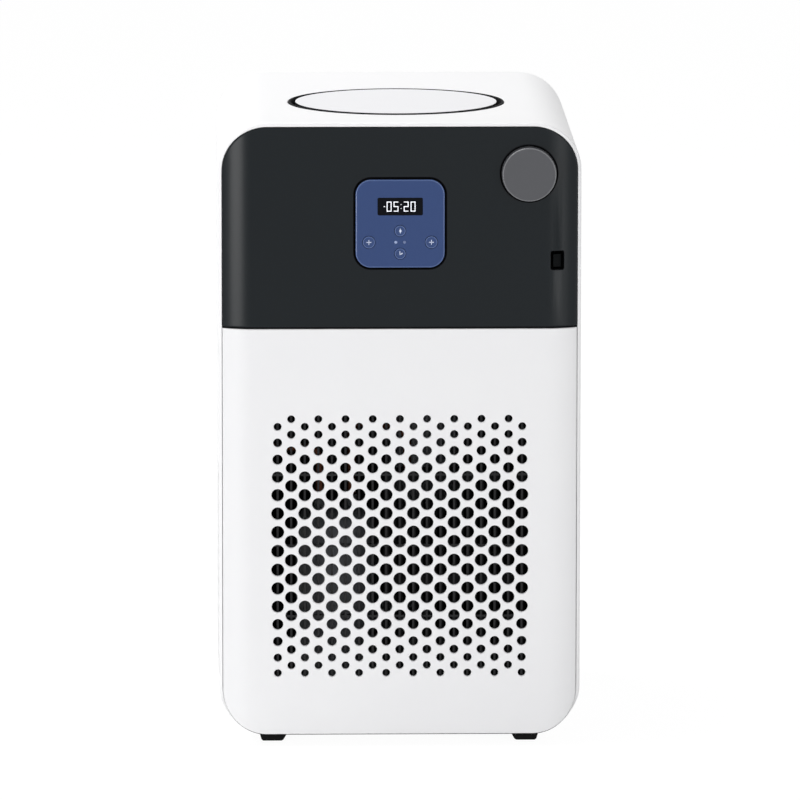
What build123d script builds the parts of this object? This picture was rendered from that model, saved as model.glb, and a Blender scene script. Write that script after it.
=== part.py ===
import os
from math import cos, pi, radians, sin, sqrt

from build123d import *

# A compact refrigerated circulator: a white wrap-around casing, a dark upper front panel with the
# controls, a perforated lower front panel, and a round lid over a small cooled bath.
# The object stands on Z = 0, X runs to the right seen from the front, and the front faces -Y.
# A depth is counted from the flat of the front panels towards the rear.

# Casing
shell_width = 250.0
shell_height = 427.5
shell_depth = 303.0
shell_wall = 2.3
shell_corner = 33.5
foot_height = 7.0
lip_width = 7.0
lip_thickness = 2.0
rear_inset = 6.0
front_zone = 30.0
screw_shaft_gap = 0.2
foot_inset = 30.0
crossbar_height = 16.0
grille_edge = 0.6
foot_side = 38.0

# Front panels
front_curve_radius = 37.0
front_curve_reach = 24.0
front_curve_sweep = 56.0
panel_gap = 0.4
panel_thickness = 3.0
panel_seat = 0.3
seam_drop = 142.6
panel_seam = 1.2

# Vent holes of the lower front panel
vent_columns = 19
vent_rows = 30
vent_side_margin = 16.6
vent_row_pitch = 6.59
vent_row_squeeze = 0.00033
vent_hole = 8.3
vent_end_hole = 5.3
vent_taper_rows = 7.0
vent_rise_middle = 133.2

# Vent holes of the side walls
side_hole = 5.2
side_pitch = 10.4
side_rows = 15
side_columns = 9
side_vent_rise = 104.0
side_vent_depth = 66.0

# Control pad
pad_width = 61.3
pad_height = 61.0
pad_corner = 10.5
pad_drop = 69.3
pad_proud = 1.5
pad_gap = 1.0
display_width = 31.2
display_height = 12.2
display_corner = 1.0
display_rise = 11.9
window_thickness = 1.6
key_radius = 4.2
small_key_radius = 3.8
key_clearance = 0.3
key_spread = 21.5
key_drop = 12.9
small_key_rise = 7.9
key_proud = 0.3
key_cap = 3.0
key_travel = 0.8
indicator_radius = 1.1
indicator_spread = 3.0
flange_rim = 4.0
flange_thickness = 1.4
board_depth = 8.0
board_thickness = 1.6
boss_radius = 2.5
boss_inset = 2.65
switch_height = 1.8
switch_gap = 0.4
key_stem = 1.5
board_side = 24.35
board_margin = 2.5
switch_size = 6.0
module_margin = 3.0
pad_edge = 0.5

# Dial
dial_radius = 18.9
dial_inset = 36.4
dial_drop = 35.0
dial_reach = 7.0
dial_gap = 1.2
dial_travel = 0.8
shaft_radius = 3.0
shaft_fit = 0.05
dial_sink = 0.3
dial_bore = 4.0
encoder_size = 16.0
encoder_front = 3.0
encoder_cavity = 6.0
plunger_depth = 9.5
plunger_thickness = 2.0
plunger_gap = 0.4
encoder_back = 2.0
dial_edge = 0.9

# Service port in the dark panel
port_width = 9.0
port_height = 12.9
port_inset = 16.7
port_drop = 95.3
port_depth = 12.0
port_wall = 1.2

# Lid and bath
bath_depth = 123.6
lid_radius = 70.4
lid_rise = 0.5
lid_height = 11.0
lid_side_gap = 3.5
lid_ring_clearance = 0.3
ring_wall = 1.6
ring_drop = 14.0
ring_floor = 2.0
ring_flange_width = 6.5
ring_flange = 2.0
plug_height = 14.0
lid_gap = 0.3
lid_overlap = 8.4
tank_wall = 1.0
tank_flange = 12.0
tank_height = 150.0
insulation_wall = 21.0
insulation_gap = 0.2
insulation_floor = 15.0
shelf_thickness = 1.5
shelf_flange = 14.0
disc_skin = 3.5
disc_rim = 4.4
plug_gap = 0.6
seal_margin = 1.0
lid_round = 0.8

# Coil, heater and sensors in the bath
coil_margin = 12.0
coil_tube = 4.0
coil_pitch = 14.0
coil_turns = 5
coil_clearance = 22.0
coil_bend = 11.0
heater_inset = 19.0
heater_tube = 4.0
heater_rise = 18.0
heater_bend = 9.0
heater_sweep = 300.0
stem_radius = 3.0
stem_height = 108.0
float_radius = 10.0
float_height = 16.0
float_clearance = 0.4
float_travel = 50.0
float_low = 32.0
probe_radius = 2.0
probe_height = 92.0
probe_inset = 10.0
gland_radius = 5.0
gland_height = 4.0
tube_clearance = 0.3
return_tail = 14.0
shelf_front = 34.0
shelf_back = 9.0
coil_stub = 6.0
return_rise = 31.0
return_run = 24.0
return_inset = 6.0
drain_tap_x = -24.0
drain_tap_offset = 20.0
drain_run = 46.0
drain_drop = 10.0
shelf_hole_gap = 1.0
heater_leg = 8.0
collar_radius = 5.0
collar_height = 2.6
base_radius = 9.0
base_height = 3.0
float_round = 2.5
probe_angle = 200.0

# Pump and its pipes
pump_x = 20.0
pump_offset = 18.0
pump_radius = 30.0
pump_height = 24.0
pump_wall = 3.0
pump_spigot = 6.0
pump_boss = 12.0
motor_radius = 25.0
motor_height = 62.0
pipe_radius = 6.0
pipe_bore = 4.0
nozzle_radius = 5.0
nozzle_bore = 3.5
nozzle_bead = 0.8
rear_reach = 26.0
nozzle_hex = 11.0
nozzle_nut = 6.0
boss_offset = 21.0
outlet_start = 15.0
impeller_gap = 5.0
pump_shaft = 3.0
impeller_disc = 2.5
vane_height = 8.0
vane_width = 2.4
vane_count = 6
shaft_drop = 16.0
motor_step = 10.0
motor_round = 3.0
bead_length = 3.0
pipe_bend = 14.0
drain_tail = 12.0

# Condenser and its fan
condenser_inset = 31.0
condenser_gap = 3.0
condenser_headroom = 65.0
condenser_thickness = 24.0
condenser_depth = 34.0
condenser_base = 36.0
condenser_side = 2.8
fin_thickness = 1.5
fan_margin = 6.0
fan_rim = 2.5
fan_depth = 25.0
fan_hub = 17.0
fan_tip_gap = 1.0
fan_blades = 7
fan_shaft = 2.0
header = 6.0
fin_count = 21
leg_width = 12.0
leg_thickness = 2.0
spoke_depth = 4.0
spoke_width = 5.0
hub_gap = 0.5
rotor_front = 2.0
blade_thickness = 1.6
blade_chord = 17.0
fan_corner = 5.0
spoke_sink = 2.0
blade_sink = 1.0
blade_pitch = 40.0

# Compressor
compressor_inset = 83.0
compressor_depth = 72.0
compressor_radius = 29.0
compressor_drop = 29.0
compressor_plate = 76.0
grommet_height = 10.0
grommet_radius = 7.0
line_radius = 3.0
terminal_height = 8.0
discharge_stub = 10.0
suction_stub = -12.0
plate_thickness = 3.0
plate_corner = 10.0
compressor_dome = 14.0
stub_wall = 1.0

# Rear panel, inlet and drain
rear_thickness = 1.5
tray_thickness = 1.5
inlet_inset = 49.0
inlet_level = 62.0
inlet_width = 50.0
inlet_height = 62.0
inlet_flange = 3.0
inlet_body = 32.0
socket_width = 24.0
socket_height = 17.0
socket_depth = 17.0
rocker_radius = 9.0
rocker_width = 20.0
rocker_tilt = 8.0
rocker_clearance = 0.4
drain_inset = 41.0
drain_level = 38.0
lever_length = 26.0
lever_thickness = 3.0
screw_radius = 2.0
screw_head = 3.8
screw_head_height = 2.0
rear_hole_clearance = 0.2
slot_length = 62.0
slot_share = 4 / 9
slot_rows = 9
slot_rise = 23.0
slot_drop = 39.0
slot_spread = 90.0
rear_screw = 1.5
rear_screw_head = 2.8
rear_screw_rows = 4
rear_screw_pitch = 100.0
inlet_seat = 4.0
rocker_pin = 1.5
rocker_pin_length = 2.0
pin_blade = (2.0, 4.0)
pin_spread = 14.0
pin_rise = 2.5
blade_length = 12.0
rocker_face = 3.2
rocker_slant = 0.14
rocker_back = 6.0
socket_drop = 13.0
rocker_rise = 14.0
rocker_sink = 1.5
inlet_corner = 3.0
socket_corner = 2.0

# Pins and catches of the lower panel
pin_radius = 2.5
pin_length = 14.0
pin_head = 3.2
pin_head_length = 3.0
pin_inset = 17.0
pin_margin = 40.0
catch_gap = 0.4
catch_wall = 3.0

# Dust filter in the lower panel
filter_rib = 1.4
filter_frame = 5.0
filter_thickness = 5.0
filter_margin = 6.0
filter_bars = 3

# Feet and their screws, floor tray
foot_length = 24.0
foot_sink = 3.0
nut_width = 7.0
nut_height = 3.2
tray_margin = 9.0
foot_top_inner = 10.2
foot_top_outer = 10.4
foot_base_inner = 6.3
foot_base_outer = 8.4
screw_overrun = 1.0

# Drain cock
valve_radius = 9.0
valve_length = 16.0
spigot_length = 12.0
valve_stem = 3.0
stem_collar = 4.5
lever_gap = 0.3
hub_radius = 6.5
arm_width = 8.0
valve_neck = 3.0

# Refrigerant lines and drier
line_bend = 9.0
line_rise = 30.0
drier_low = 96.0
drier_height = 60.0
drier_radius = 8.0
condenser_outlet = 60.0
condenser_inlet = 16.0
suction_rise = 12.0
liquid_inset = 16.7
suction_inset = 22.7
line_standoff = 25.0
drier_round = 3.0

# Power supply
supply_gap = 8.0
supply_inlet_gap = 21.0
supply_edge = 14.0
supply_length = 84.0
supply_height = 44.0
supply_wall = 2.0
supply_margin = 14.0
supply_hole_y = 8.0
supply_columns = 7
supply_rows = 8
supply_hole = 2.0

# Values worked out from the driving sizes
front_y = (dial_reach - rear_reach - shell_depth) / 2
back_y = front_y + shell_depth
shell_top = foot_height + shell_height
shell_middle = foot_height + shell_height / 2
shell_half = shell_width / 2
inner_half = shell_half - shell_wall
inner_floor = foot_height + shell_wall
inner_top = shell_top - shell_wall
inner_corner = shell_corner - shell_wall
panel_width = shell_width - 2 * (shell_wall + panel_gap)
panel_height = shell_height - 2 * (shell_wall + panel_gap)
panel_corner = inner_corner - panel_gap
flat_half = shell_half - front_curve_reach
vent_column_pitch = 2 * (flat_half - vent_side_margin) / (vent_columns - 1)
lip_front = panel_thickness + panel_seat
bath_y = front_y + bath_depth
lid_ring_radius = lid_radius + lid_side_gap + ring_wall
ring_flange_radius = lid_ring_radius + ring_flange_width
tank_radius = lid_radius - lid_overlap
insulation_radius = tank_radius + tank_wall + insulation_wall
coil_radius = tank_radius - coil_margin
heater_radius = coil_radius - heater_inset
probe_offset = coil_radius - probe_inset
seam_level = shell_top - seam_drop
vent_middle = foot_height + vent_rise_middle
side_vent_middle = foot_height + side_vent_rise
pad_level = shell_top - pad_drop
dial_x = shell_half - dial_inset
dial_level = shell_top - dial_drop
port_x = shell_half - port_inset
port_level = shell_top - port_drop
foot_x = shell_half - foot_side
foot_middle_y = front_y + shell_depth / 2
foot_span = shell_depth - 2 * foot_inset
lid_top = shell_top + lid_rise
lid_bottom = lid_top - lid_height
ring_ledge = shell_top - ring_drop
tank_rim = ring_ledge - ring_floor
tank_floor = tank_rim - tank_height
tank_bottom = tank_floor - tank_wall
shelf_top = tank_bottom - insulation_floor
shelf_bottom = shelf_top - shelf_thickness
tray_top = inner_floor + tray_thickness
rear_face = back_y - rear_inset
rear_inner = rear_face - rear_thickness
pump_y = bath_y + pump_offset
pump_top = shelf_bottom - pump_boss
pump_bottom = pump_top - pump_height
pump_middle = (pump_top + pump_bottom) / 2
impeller_radius = pump_radius - pump_wall - impeller_gap
outlet_x = pump_x + pump_radius - pipe_radius - pump_wall
compressor_x = compressor_inset - shell_half
compressor_y = front_y + compressor_depth
condenser_left = compressor_x + compressor_radius + condenser_gap
condenser_right = shell_half - condenser_inset
condenser_width = condenser_right - condenser_left
condenser_x = (condenser_left + condenser_right) / 2
condenser_y = front_y + condenser_depth
condenser_top = shelf_bottom - condenser_headroom
condenser_height = condenser_top - condenser_base
compressor_top = condenser_top - compressor_drop
fin_pitch = (condenser_width - 2 * condenser_side) / fin_count
fin_gap = fin_pitch - fin_thickness
fan_size = condenser_width - 2 * fan_margin
fan_bore = fan_size / 2 - fan_rim
fan_y = condenser_y + condenser_thickness
fan_level = condenser_base + condenser_height / 2
fan_tip = fan_bore - fan_tip_gap
liquid_x = inner_half - liquid_inset
suction_x = suction_inset - inner_half
inlet_x = shell_half - inlet_inset
drain_x = drain_inset - shell_half
supply_left = drain_x + pipe_radius + supply_gap
supply_right = inlet_x - inlet_width / 2 - supply_inlet_gap
supply_width = supply_right - supply_left
supply_x = (supply_left + supply_right) / 2
supply_hole_x = (supply_width - 2 * supply_edge) / (supply_columns - 1)


def upright(y):
    # a sketch plane at a place along Y: it looks to the front, its up axis along Z
    return Plane(origin=(0, y, 0), x_dir=(1, 0, 0), z_dir=(0, -1, 0))


def at_depth(depth):
    return upright(front_y + depth)


def behind_curve(inset):
    # all the space that lies at least inset behind the curved front
    arc = front_curve_radius - inset
    centre_y = front_y + front_curve_radius
    far_y = back_y + rear_inset
    with BuildPart() as space:
        with BuildSketch(Plane.XY):
            with BuildLine():
                right = CenterArc((flat_half, centre_y), arc, -90, front_curve_sweep)
                left = CenterArc((-flat_half, centre_y), arc, -90, -front_curve_sweep)
                Line(left @ 0, right @ 0)
                right_side = Line(right @ 1, ((right @ 1).X, far_y))
                left_side = Line(left @ 1, ((left @ 1).X, far_y))
                Line(right_side @ 1, left_side @ 1)
            make_face()
        extrude(amount=lid_top)
    return space.part


def biarc(start, start_way, end, end_way):
    # the point where two arcs meet that join two points with their directions
    span = end - start
    both = start_way + end_way
    bend = 2 * (1 - start_way.dot(end_way))
    reach = (sqrt(span.dot(both) ** 2 + bend * span.dot(span)) - span.dot(both)) / bend
    first = start + start_way * reach
    second = end - end_way * reach
    return (first + second) * 0.5, (second - first).normalized()


def bent_tube(points, bend, radius, bore=0):
    # a tube along straight runs joined by arcs of one radius
    with BuildPart() as tube:
        with BuildLine() as path:
            FilletPolyline(*points, radius=bend)
        with BuildSketch(Plane(origin=path.line @ 0, z_dir=path.line % 0)):
            Circle(radius)
            if bore:
                Circle(bore, mode=Mode.SUBTRACT)
        sweep()
    return tube


def rod(start, end, radius):
    # a straight round bar between two points, used to cut the holes that tubes pass
    start = Vector(*start)
    end = Vector(*end)
    with BuildPart() as bar:
        with BuildSketch(Plane(origin=start, z_dir=end - start)):
            Circle(radius)
        extrude(amount=(end - start).length)
    return bar.part


def row_level(row):
    # the height of a row of vent holes, counted from the top; the rows close up towards both ends
    step = (vent_rows - 1) / 2 - row
    return vent_middle + vent_row_pitch * step * (1 - vent_row_squeeze * step**2)


def write(piece, name):
    piece.part.label = name
    export_step(piece.part, f"parts/{name}.step")


os.makedirs("parts", exist_ok=True)
front_space = behind_curve(0)
panel_space = behind_curve(panel_thickness)
lip_space = behind_curve(lip_front)
inner_space = behind_curve(lip_front + lip_thickness)

# Front lip of the casing, which the two front panels rest against
with BuildPart() as front_lip:
    with BuildSketch(at_depth(0)):
        with Locations((0, shell_middle)):
            RectangleRounded(2 * inner_half, shell_height - 2 * shell_wall, inner_corner)
            RectangleRounded(
                2 * (inner_half - lip_width),
                shell_height - 2 * (shell_wall + lip_width),
                inner_corner - lip_width,
                mode=Mode.SUBTRACT,
            )
    extrude(amount=-front_zone)
    add(lip_space, mode=Mode.INTERSECT)
    add(inner_space, mode=Mode.SUBTRACT)

# Casing: one tube round the top, the sides and the bottom, open at the front and the rear
with BuildPart() as outer_shell:
    with BuildSketch(at_depth(0)):
        with Locations((0, shell_middle)):
            RectangleRounded(shell_width, shell_height, shell_corner)
            RectangleRounded(
                2 * inner_half, shell_height - 2 * shell_wall, inner_corner, mode=Mode.SUBTRACT
            )
    extrude(amount=-shell_depth)
    add(front_space, mode=Mode.INTERSECT)
    add(front_lip.part)
    with BuildSketch(upright(rear_inner)):
        with Locations((0, shell_middle)):
            RectangleRounded(2 * inner_half, shell_height - 2 * shell_wall, inner_corner)
            RectangleRounded(
                2 * (inner_half - lip_width),
                shell_height - 2 * (shell_wall + lip_width),
                inner_corner - lip_width,
                mode=Mode.SUBTRACT,
            )
    extrude(amount=lip_thickness)
    with BuildSketch(Plane.XY.offset(shell_top)):
        with Locations((0, bath_y)):
            Circle(lid_ring_radius + lid_ring_clearance)
    extrude(amount=-2 * shell_wall, mode=Mode.SUBTRACT)
    with BuildSketch(Plane.YZ.offset(-shell_half)):
        with Locations((front_y + side_vent_depth, side_vent_middle)):
            with GridLocations(side_pitch, side_pitch, side_columns, side_rows):
                Circle(side_hole / 2)
    extrude(amount=shell_width, mode=Mode.SUBTRACT)
    with BuildSketch(Plane.XY.offset(inner_floor)):
        with Locations((0, foot_middle_y)):
            with GridLocations(2 * foot_x, foot_span, 2, 2):
                Circle(screw_radius + screw_shaft_gap)
    extrude(amount=-2 * shell_wall, mode=Mode.SUBTRACT)
write(outer_shell, "outer_shell")

# Dark upper front panel with the pocket for the pad, the dial hole and the service port
with BuildPart() as upper_front_panel:
    with BuildSketch(at_depth(0)):
        with Locations((0, shell_middle)):
            RectangleRounded(panel_width, panel_height, panel_corner)
    extrude(amount=-front_zone)
    add(front_space, mode=Mode.INTERSECT)
    add(panel_space, mode=Mode.SUBTRACT)
    split(bisect_by=Plane.XY.offset(seam_level + panel_seam), keep=Keep.TOP)
    with BuildSketch(at_depth(0)):
        with Locations((0, pad_level)):
            RectangleRounded(
                pad_width + 2 * pad_gap, pad_height + 2 * pad_gap, pad_corner + pad_gap
            )
        with Locations((dial_x, dial_level)):
            Circle(shaft_radius + dial_gap)
        with Locations((port_x, port_level)):
            RectangleRounded(port_width, port_height, port_wall)
    extrude(amount=-front_zone, mode=Mode.SUBTRACT)
    with BuildSketch(at_depth(0)):
        with Locations((dial_x, dial_level)):
            Circle(dial_radius + dial_gap)
    extrude(amount=-panel_thickness / 2, mode=Mode.SUBTRACT)
write(upper_front_panel, "upper_front_panel")

# Bar behind the seam of the two front panels
with BuildPart() as front_crossbar:
    with BuildSketch(at_depth(0)):
        with Locations((0, seam_level + panel_seam / 2)):
            Rectangle(2 * (inner_half - lip_width), crossbar_height)
    extrude(amount=-front_zone)
    add(lip_space, mode=Mode.INTERSECT)
    add(inner_space, mode=Mode.SUBTRACT)
write(front_crossbar, "front_crossbar")

# White lower front panel: holes in staggered columns, which close up and shrink at both ends
with BuildPart() as vent_grille:
    with BuildSketch(at_depth(0)):
        with Locations((0, shell_middle)):
            RectangleRounded(panel_width, panel_height, panel_corner)
    extrude(amount=-front_zone)
    add(front_space, mode=Mode.INTERSECT)
    add(panel_space, mode=Mode.SUBTRACT)
    split(bisect_by=Plane.XY.offset(seam_level), keep=Keep.BOTTOM)
    chamfer(vent_grille.faces().sort_by(Axis.Z)[-1].edges().sort_by(Axis.Y)[0], grille_edge)
    with BuildSketch(at_depth(0)):
        for row in range(vent_rows):
            from_end = min(1.0, min(row, vent_rows - 1 - row) / vent_taper_rows)
            hole = vent_end_hole + (vent_hole - vent_end_hole) * from_end
            for column in range(1 - row % 2, vent_columns, 2):
                with Locations(((column - (vent_columns - 1) / 2) * vent_column_pitch, row_level(row))):
                    Circle(hole / 2)
    extrude(amount=-front_zone, mode=Mode.SUBTRACT)
write(vent_grille, "vent_grille")

# Snap pins at the back of the lower panel and the catches that hold them
pin_places = [
    (side * (inner_half - pin_inset), level)
    for side in (-1, 1)
    for level in (foot_height + pin_margin, seam_level - pin_margin)
]
with BuildPart() as grille_pins:
    with BuildSketch(at_depth(0)):
        with Locations(*pin_places):
            Circle(pin_radius)
    extrude(amount=-(panel_thickness + pin_length))
    with BuildSketch(at_depth(panel_thickness + pin_length)):
        with Locations(*pin_places):
            Circle(pin_head)
    extrude(amount=-pin_head_length)
    add(panel_space, mode=Mode.INTERSECT)
write(grille_pins, "grille_pins")

with BuildPart() as grille_catches:
    catch_half = pin_head + catch_gap + catch_wall
    with BuildSketch(at_depth(0)):
        for x, level in pin_places:
            side = 1 if x > 0 else -1
            reach = pin_inset + catch_half
            with Locations((side * (inner_half - reach / 2), level)):
                Rectangle(reach, 2 * catch_half)
    extrude(amount=-(panel_thickness + pin_length + pin_head_length + catch_wall))
    add(inner_space, mode=Mode.INTERSECT)
    with BuildSketch(at_depth(0)):
        with Locations(*pin_places):
            Circle(pin_head + catch_gap)
    extrude(amount=-(panel_thickness + pin_length + pin_head_length + catch_gap), mode=Mode.SUBTRACT)
write(grille_catches, "grille_catches")

# Dust filter in the back of the lower panel, one rib behind each column of holes
vent_span = (vent_columns - 1) * vent_column_pitch
vent_rise = row_level(0) - row_level(vent_rows - 1)
with BuildPart() as dust_filter:
    filter_width = vent_span + vent_hole + 2 * filter_margin
    filter_height = vent_rise + vent_hole + 2 * filter_margin
    with BuildSketch(at_depth(panel_thickness)):
        with Locations((0, vent_middle)):
            Rectangle(filter_width, filter_height)
            Rectangle(
                filter_width - 2 * filter_frame, filter_height - 2 * filter_frame, mode=Mode.SUBTRACT
            )
            with GridLocations(vent_column_pitch, 1, vent_columns, 1):
                Rectangle(filter_rib, filter_height - filter_frame)
            with GridLocations(1, filter_height / (filter_bars + 1), 1, filter_bars):
                Rectangle(filter_width - filter_frame, filter_rib)
    extrude(amount=-filter_thickness)
write(dust_filter, "dust_filter")

# Control pad: a flange behind the dark panel carries it in its pocket
display_level = pad_level + display_rise
key_level = pad_level - key_drop
key_places = {
    "key_left": (-key_spread, key_level, key_radius),
    "key_right": (key_spread, key_level, key_radius),
    "key_up": (0, key_level + small_key_rise, small_key_radius),
    "key_down": (0, key_level - small_key_rise, small_key_radius),
}
with BuildPart() as control_pad:
    with BuildSketch(at_depth(-pad_proud)):
        with Locations((0, pad_level)):
            RectangleRounded(pad_width, pad_height, pad_corner)
    extrude(amount=-(pad_proud + panel_thickness))
    with BuildSketch(at_depth(panel_thickness)):
        with Locations((0, pad_level)):
            rim = 2 * (pad_gap + flange_rim)
            RectangleRounded(pad_width + rim, pad_height + rim, pad_corner + rim / 2)
    extrude(amount=-flange_thickness)
    with BuildSketch(at_depth(panel_thickness + flange_thickness)):
        with Locations((0, pad_level)):
            with GridLocations(pad_width - 2 * boss_inset, pad_height - 2 * boss_inset, 2, 2):
                Circle(boss_radius)
    extrude(amount=-(board_depth - panel_thickness - flange_thickness))
    with BuildSketch(at_depth(-pad_proud)):
        for x, level, radius in key_places.values():
            with Locations((x, level)):
                Circle(radius + key_clearance)
        with Locations((0, display_level)):
            RectangleRounded(display_width, display_height, display_corner)
        with Locations((-indicator_spread, key_level), (indicator_spread, key_level)):
            Circle(indicator_radius)
    extrude(amount=-(pad_proud + panel_thickness + flange_thickness), mode=Mode.SUBTRACT)
    chamfer(control_pad.faces().sort_by(Axis.Y)[0].outer_wire().edges(), pad_edge)
write(control_pad, "control_pad")

with BuildPart() as display_window:
    with BuildSketch(at_depth(-pad_proud)):
        with Locations((0, display_level)):
            RectangleRounded(display_width, display_height, display_corner)
    extrude(amount=-window_thickness)
write(display_window, "display_window")

with BuildPart() as indicator_lights:
    with BuildSketch(at_depth(-pad_proud)):
        with Locations((-indicator_spread, key_level), (indicator_spread, key_level)):
            Circle(indicator_radius)
    extrude(amount=-(pad_proud + board_depth))
write(indicator_lights, "indicator_lights")

# Four keys, each a cap with a stem that reaches to its switch on the board
stem_end = board_depth - switch_height - switch_gap - key_travel
for name, (x, level, radius) in key_places.items():
    with BuildPart() as key:
        with BuildSketch(at_depth(-(pad_proud + key_proud))):
            with Locations((x, level)):
                Circle(radius)
        extrude(amount=-key_cap)
        with BuildSketch(at_depth(0)):
            with Locations((x, level)):
                Circle(key_stem)
        extrude(amount=-stem_end)
    write(key, name)

# Board behind the pad, with the switches and the display module on it
with BuildPart() as control_board:
    with BuildSketch(at_depth(board_depth)):
        with Locations((0, pad_level)):
            Rectangle(pad_width + 2 * board_side, pad_height + 2 * board_margin)
    extrude(amount=-board_thickness)
    with BuildSketch(at_depth(board_depth)):
        for x, level, radius in key_places.values():
            with Locations((x, level)):
                Rectangle(switch_size, switch_size)
    extrude(amount=switch_height)
    with BuildSketch(at_depth(panel_thickness + flange_thickness)):
        with Locations((0, display_level)):
            Rectangle(display_width + 2 * module_margin, display_height + module_margin)
    extrude(amount=-(board_depth - panel_thickness - flange_thickness))
write(control_board, "control_board")

# Dial with its shaft, which turns in the encoder and presses its plunger
with BuildPart() as dial_knob:
    with BuildSketch(at_depth(-dial_reach)):
        with Locations((dial_x, dial_level)):
            Circle(dial_radius)
    extrude(amount=-(dial_reach + dial_sink))
    chamfer(dial_knob.faces().sort_by(Axis.Y)[0].edges(), dial_edge)
    with BuildSketch(at_depth(dial_sink)):
        with Locations((dial_x, dial_level)):
            Circle(shaft_radius + shaft_fit)
    extrude(amount=dial_bore, mode=Mode.SUBTRACT)
write(dial_knob, "dial_knob")

with BuildPart() as dial_shaft:
    shaft_start = dial_sink - dial_bore
    shaft_stop = plunger_depth - switch_gap
    with BuildSketch(at_depth(shaft_start)):
        with Locations((dial_x, dial_level)):
            Circle(shaft_radius)
    extrude(amount=-(shaft_stop - shaft_start))
write(dial_shaft, "dial_shaft")

with BuildPart() as dial_plunger:
    with BuildSketch(at_depth(plunger_depth)):
        with Locations((dial_x, dial_level)):
            Circle(encoder_cavity - plunger_gap)
    extrude(amount=-plunger_thickness)
write(dial_plunger, "dial_plunger")

with BuildPart() as encoder_body:
    cavity_end = plunger_depth + plunger_thickness + dial_travel + plunger_gap
    with BuildSketch(at_depth(panel_thickness)):
        with Locations((dial_x, dial_level)):
            Rectangle(encoder_size, encoder_size)
    extrude(amount=-(cavity_end + encoder_back - panel_thickness))
    with BuildSketch(at_depth(panel_thickness + encoder_front)):
        with Locations((dial_x, dial_level)):
            Circle(encoder_cavity)
    extrude(amount=-(cavity_end - panel_thickness - encoder_front), mode=Mode.SUBTRACT)
    with BuildSketch(at_depth(panel_thickness)):
        with Locations((dial_x, dial_level)):
            Circle(shaft_radius + shaft_fit)
    extrude(amount=-encoder_front, mode=Mode.SUBTRACT)
write(encoder_body, "encoder_body")

# Service port: a blind socket behind the small opening in the dark panel
with BuildPart() as service_port:
    with BuildSketch(at_depth(0)):
        with Locations((port_x, port_level)):
            Rectangle(port_width + 2 * port_wall, port_height + 2 * port_wall)
    extrude(amount=-(port_depth + port_wall))
    add(panel_space, mode=Mode.INTERSECT)
    with BuildSketch(at_depth(0)):
        with Locations((port_x, port_level)):
            RectangleRounded(port_width, port_height, port_wall)
    extrude(amount=-port_depth, mode=Mode.SUBTRACT)
write(service_port, "service_port")

# Feet: wedges with a steeper outer side, each with a sunk screw and a nut on the tray
with BuildPart() as feet:
    for end in (-1, 1):
        near = foot_middle_y + end * foot_span / 2 - foot_length / 2
        with BuildSketch(upright(near)):
            for side in (-1, 1):
                with BuildLine():
                    Polyline(
                        (side * (foot_x - foot_base_inner), 0),
                        (side * (foot_x + foot_base_outer), 0),
                        (side * (foot_x + foot_top_outer), foot_height),
                        (side * (foot_x - foot_top_inner), foot_height),
                        close=True,
                    )
                make_face()
        extrude(amount=-foot_length)
    with BuildSketch(Plane.XY):
        with Locations((0, foot_middle_y)):
            with GridLocations(2 * foot_x, foot_span, 2, 2):
                Circle(screw_head + screw_shaft_gap)
    extrude(amount=foot_sink, mode=Mode.SUBTRACT)
    with BuildSketch(Plane.XY):
        with Locations((0, foot_middle_y)):
            with GridLocations(2 * foot_x, foot_span, 2, 2):
                Circle(screw_radius + screw_shaft_gap)
    extrude(amount=foot_height, mode=Mode.SUBTRACT)
write(feet, "feet")

with BuildPart() as foot_screws:
    with BuildSketch(Plane.XY.offset(foot_sink - screw_head_height)):
        with Locations((0, foot_middle_y)):
            with GridLocations(2 * foot_x, foot_span, 2, 2):
                Circle(screw_head)
    extrude(amount=screw_head_height)
    with BuildSketch(Plane.XY.offset(foot_sink)):
        with Locations((0, foot_middle_y)):
            with GridLocations(2 * foot_x, foot_span, 2, 2):
                Circle(screw_radius)
    extrude(amount=tray_top + nut_height + screw_overrun - foot_sink)
    with BuildSketch(Plane.XY.offset(tray_top)):
        with Locations((0, foot_middle_y)):
            with GridLocations(2 * foot_x, foot_span, 2, 2):
                RegularPolygon(nut_width / 2, 6, major_radius=False)
    extrude(amount=nut_height)
write(foot_screws, "foot_screws")

# Floor tray that carries the compressor, the condenser and the power supply
with BuildPart() as chassis_tray:
    tray_width = 2 * (shell_half - shell_corner)
    tray_start = front_y + tray_margin
    tray_length = rear_inner - lip_thickness - panel_seat - tray_start
    with BuildSketch(Plane.XY.offset(inner_floor)):
        with Locations((0, tray_start + tray_length / 2)):
            Rectangle(tray_width, tray_length)
        with Locations((0, foot_middle_y)):
            with GridLocations(2 * foot_x, foot_span, 2, 2):
                Circle(screw_radius + screw_shaft_gap, mode=Mode.SUBTRACT)
    extrude(amount=tray_thickness)
write(chassis_tray, "chassis_tray")

# Lid: a white disc with a plug of insulation under it and a rubber seal between
with BuildPart() as lid_disc:
    with BuildSketch(Plane.XY.offset(lid_bottom)):
        with Locations((0, bath_y)):
            Circle(lid_radius)
    extrude(amount=lid_height)
    fillet(lid_disc.faces().sort_by(Axis.Z)[-1].edges(), lid_round)
    with BuildSketch(Plane.XY.offset(lid_bottom)):
        with Locations((0, bath_y)):
            Circle(lid_radius - disc_rim)
    extrude(amount=lid_height - disc_skin, mode=Mode.SUBTRACT)
write(lid_disc, "lid_disc")

with BuildPart() as lid_plug:
    with BuildSketch(Plane.XY.offset(lid_bottom)):
        with Locations((0, bath_y)):
            Circle(lid_radius - disc_rim - insulation_gap)
    extrude(amount=lid_height - disc_skin)
    with BuildSketch(Plane.XY.offset(lid_bottom)):
        with Locations((0, bath_y)):
            Circle(tank_radius - plug_gap)
    extrude(amount=-plug_height)
write(lid_plug, "lid_plug")

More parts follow.
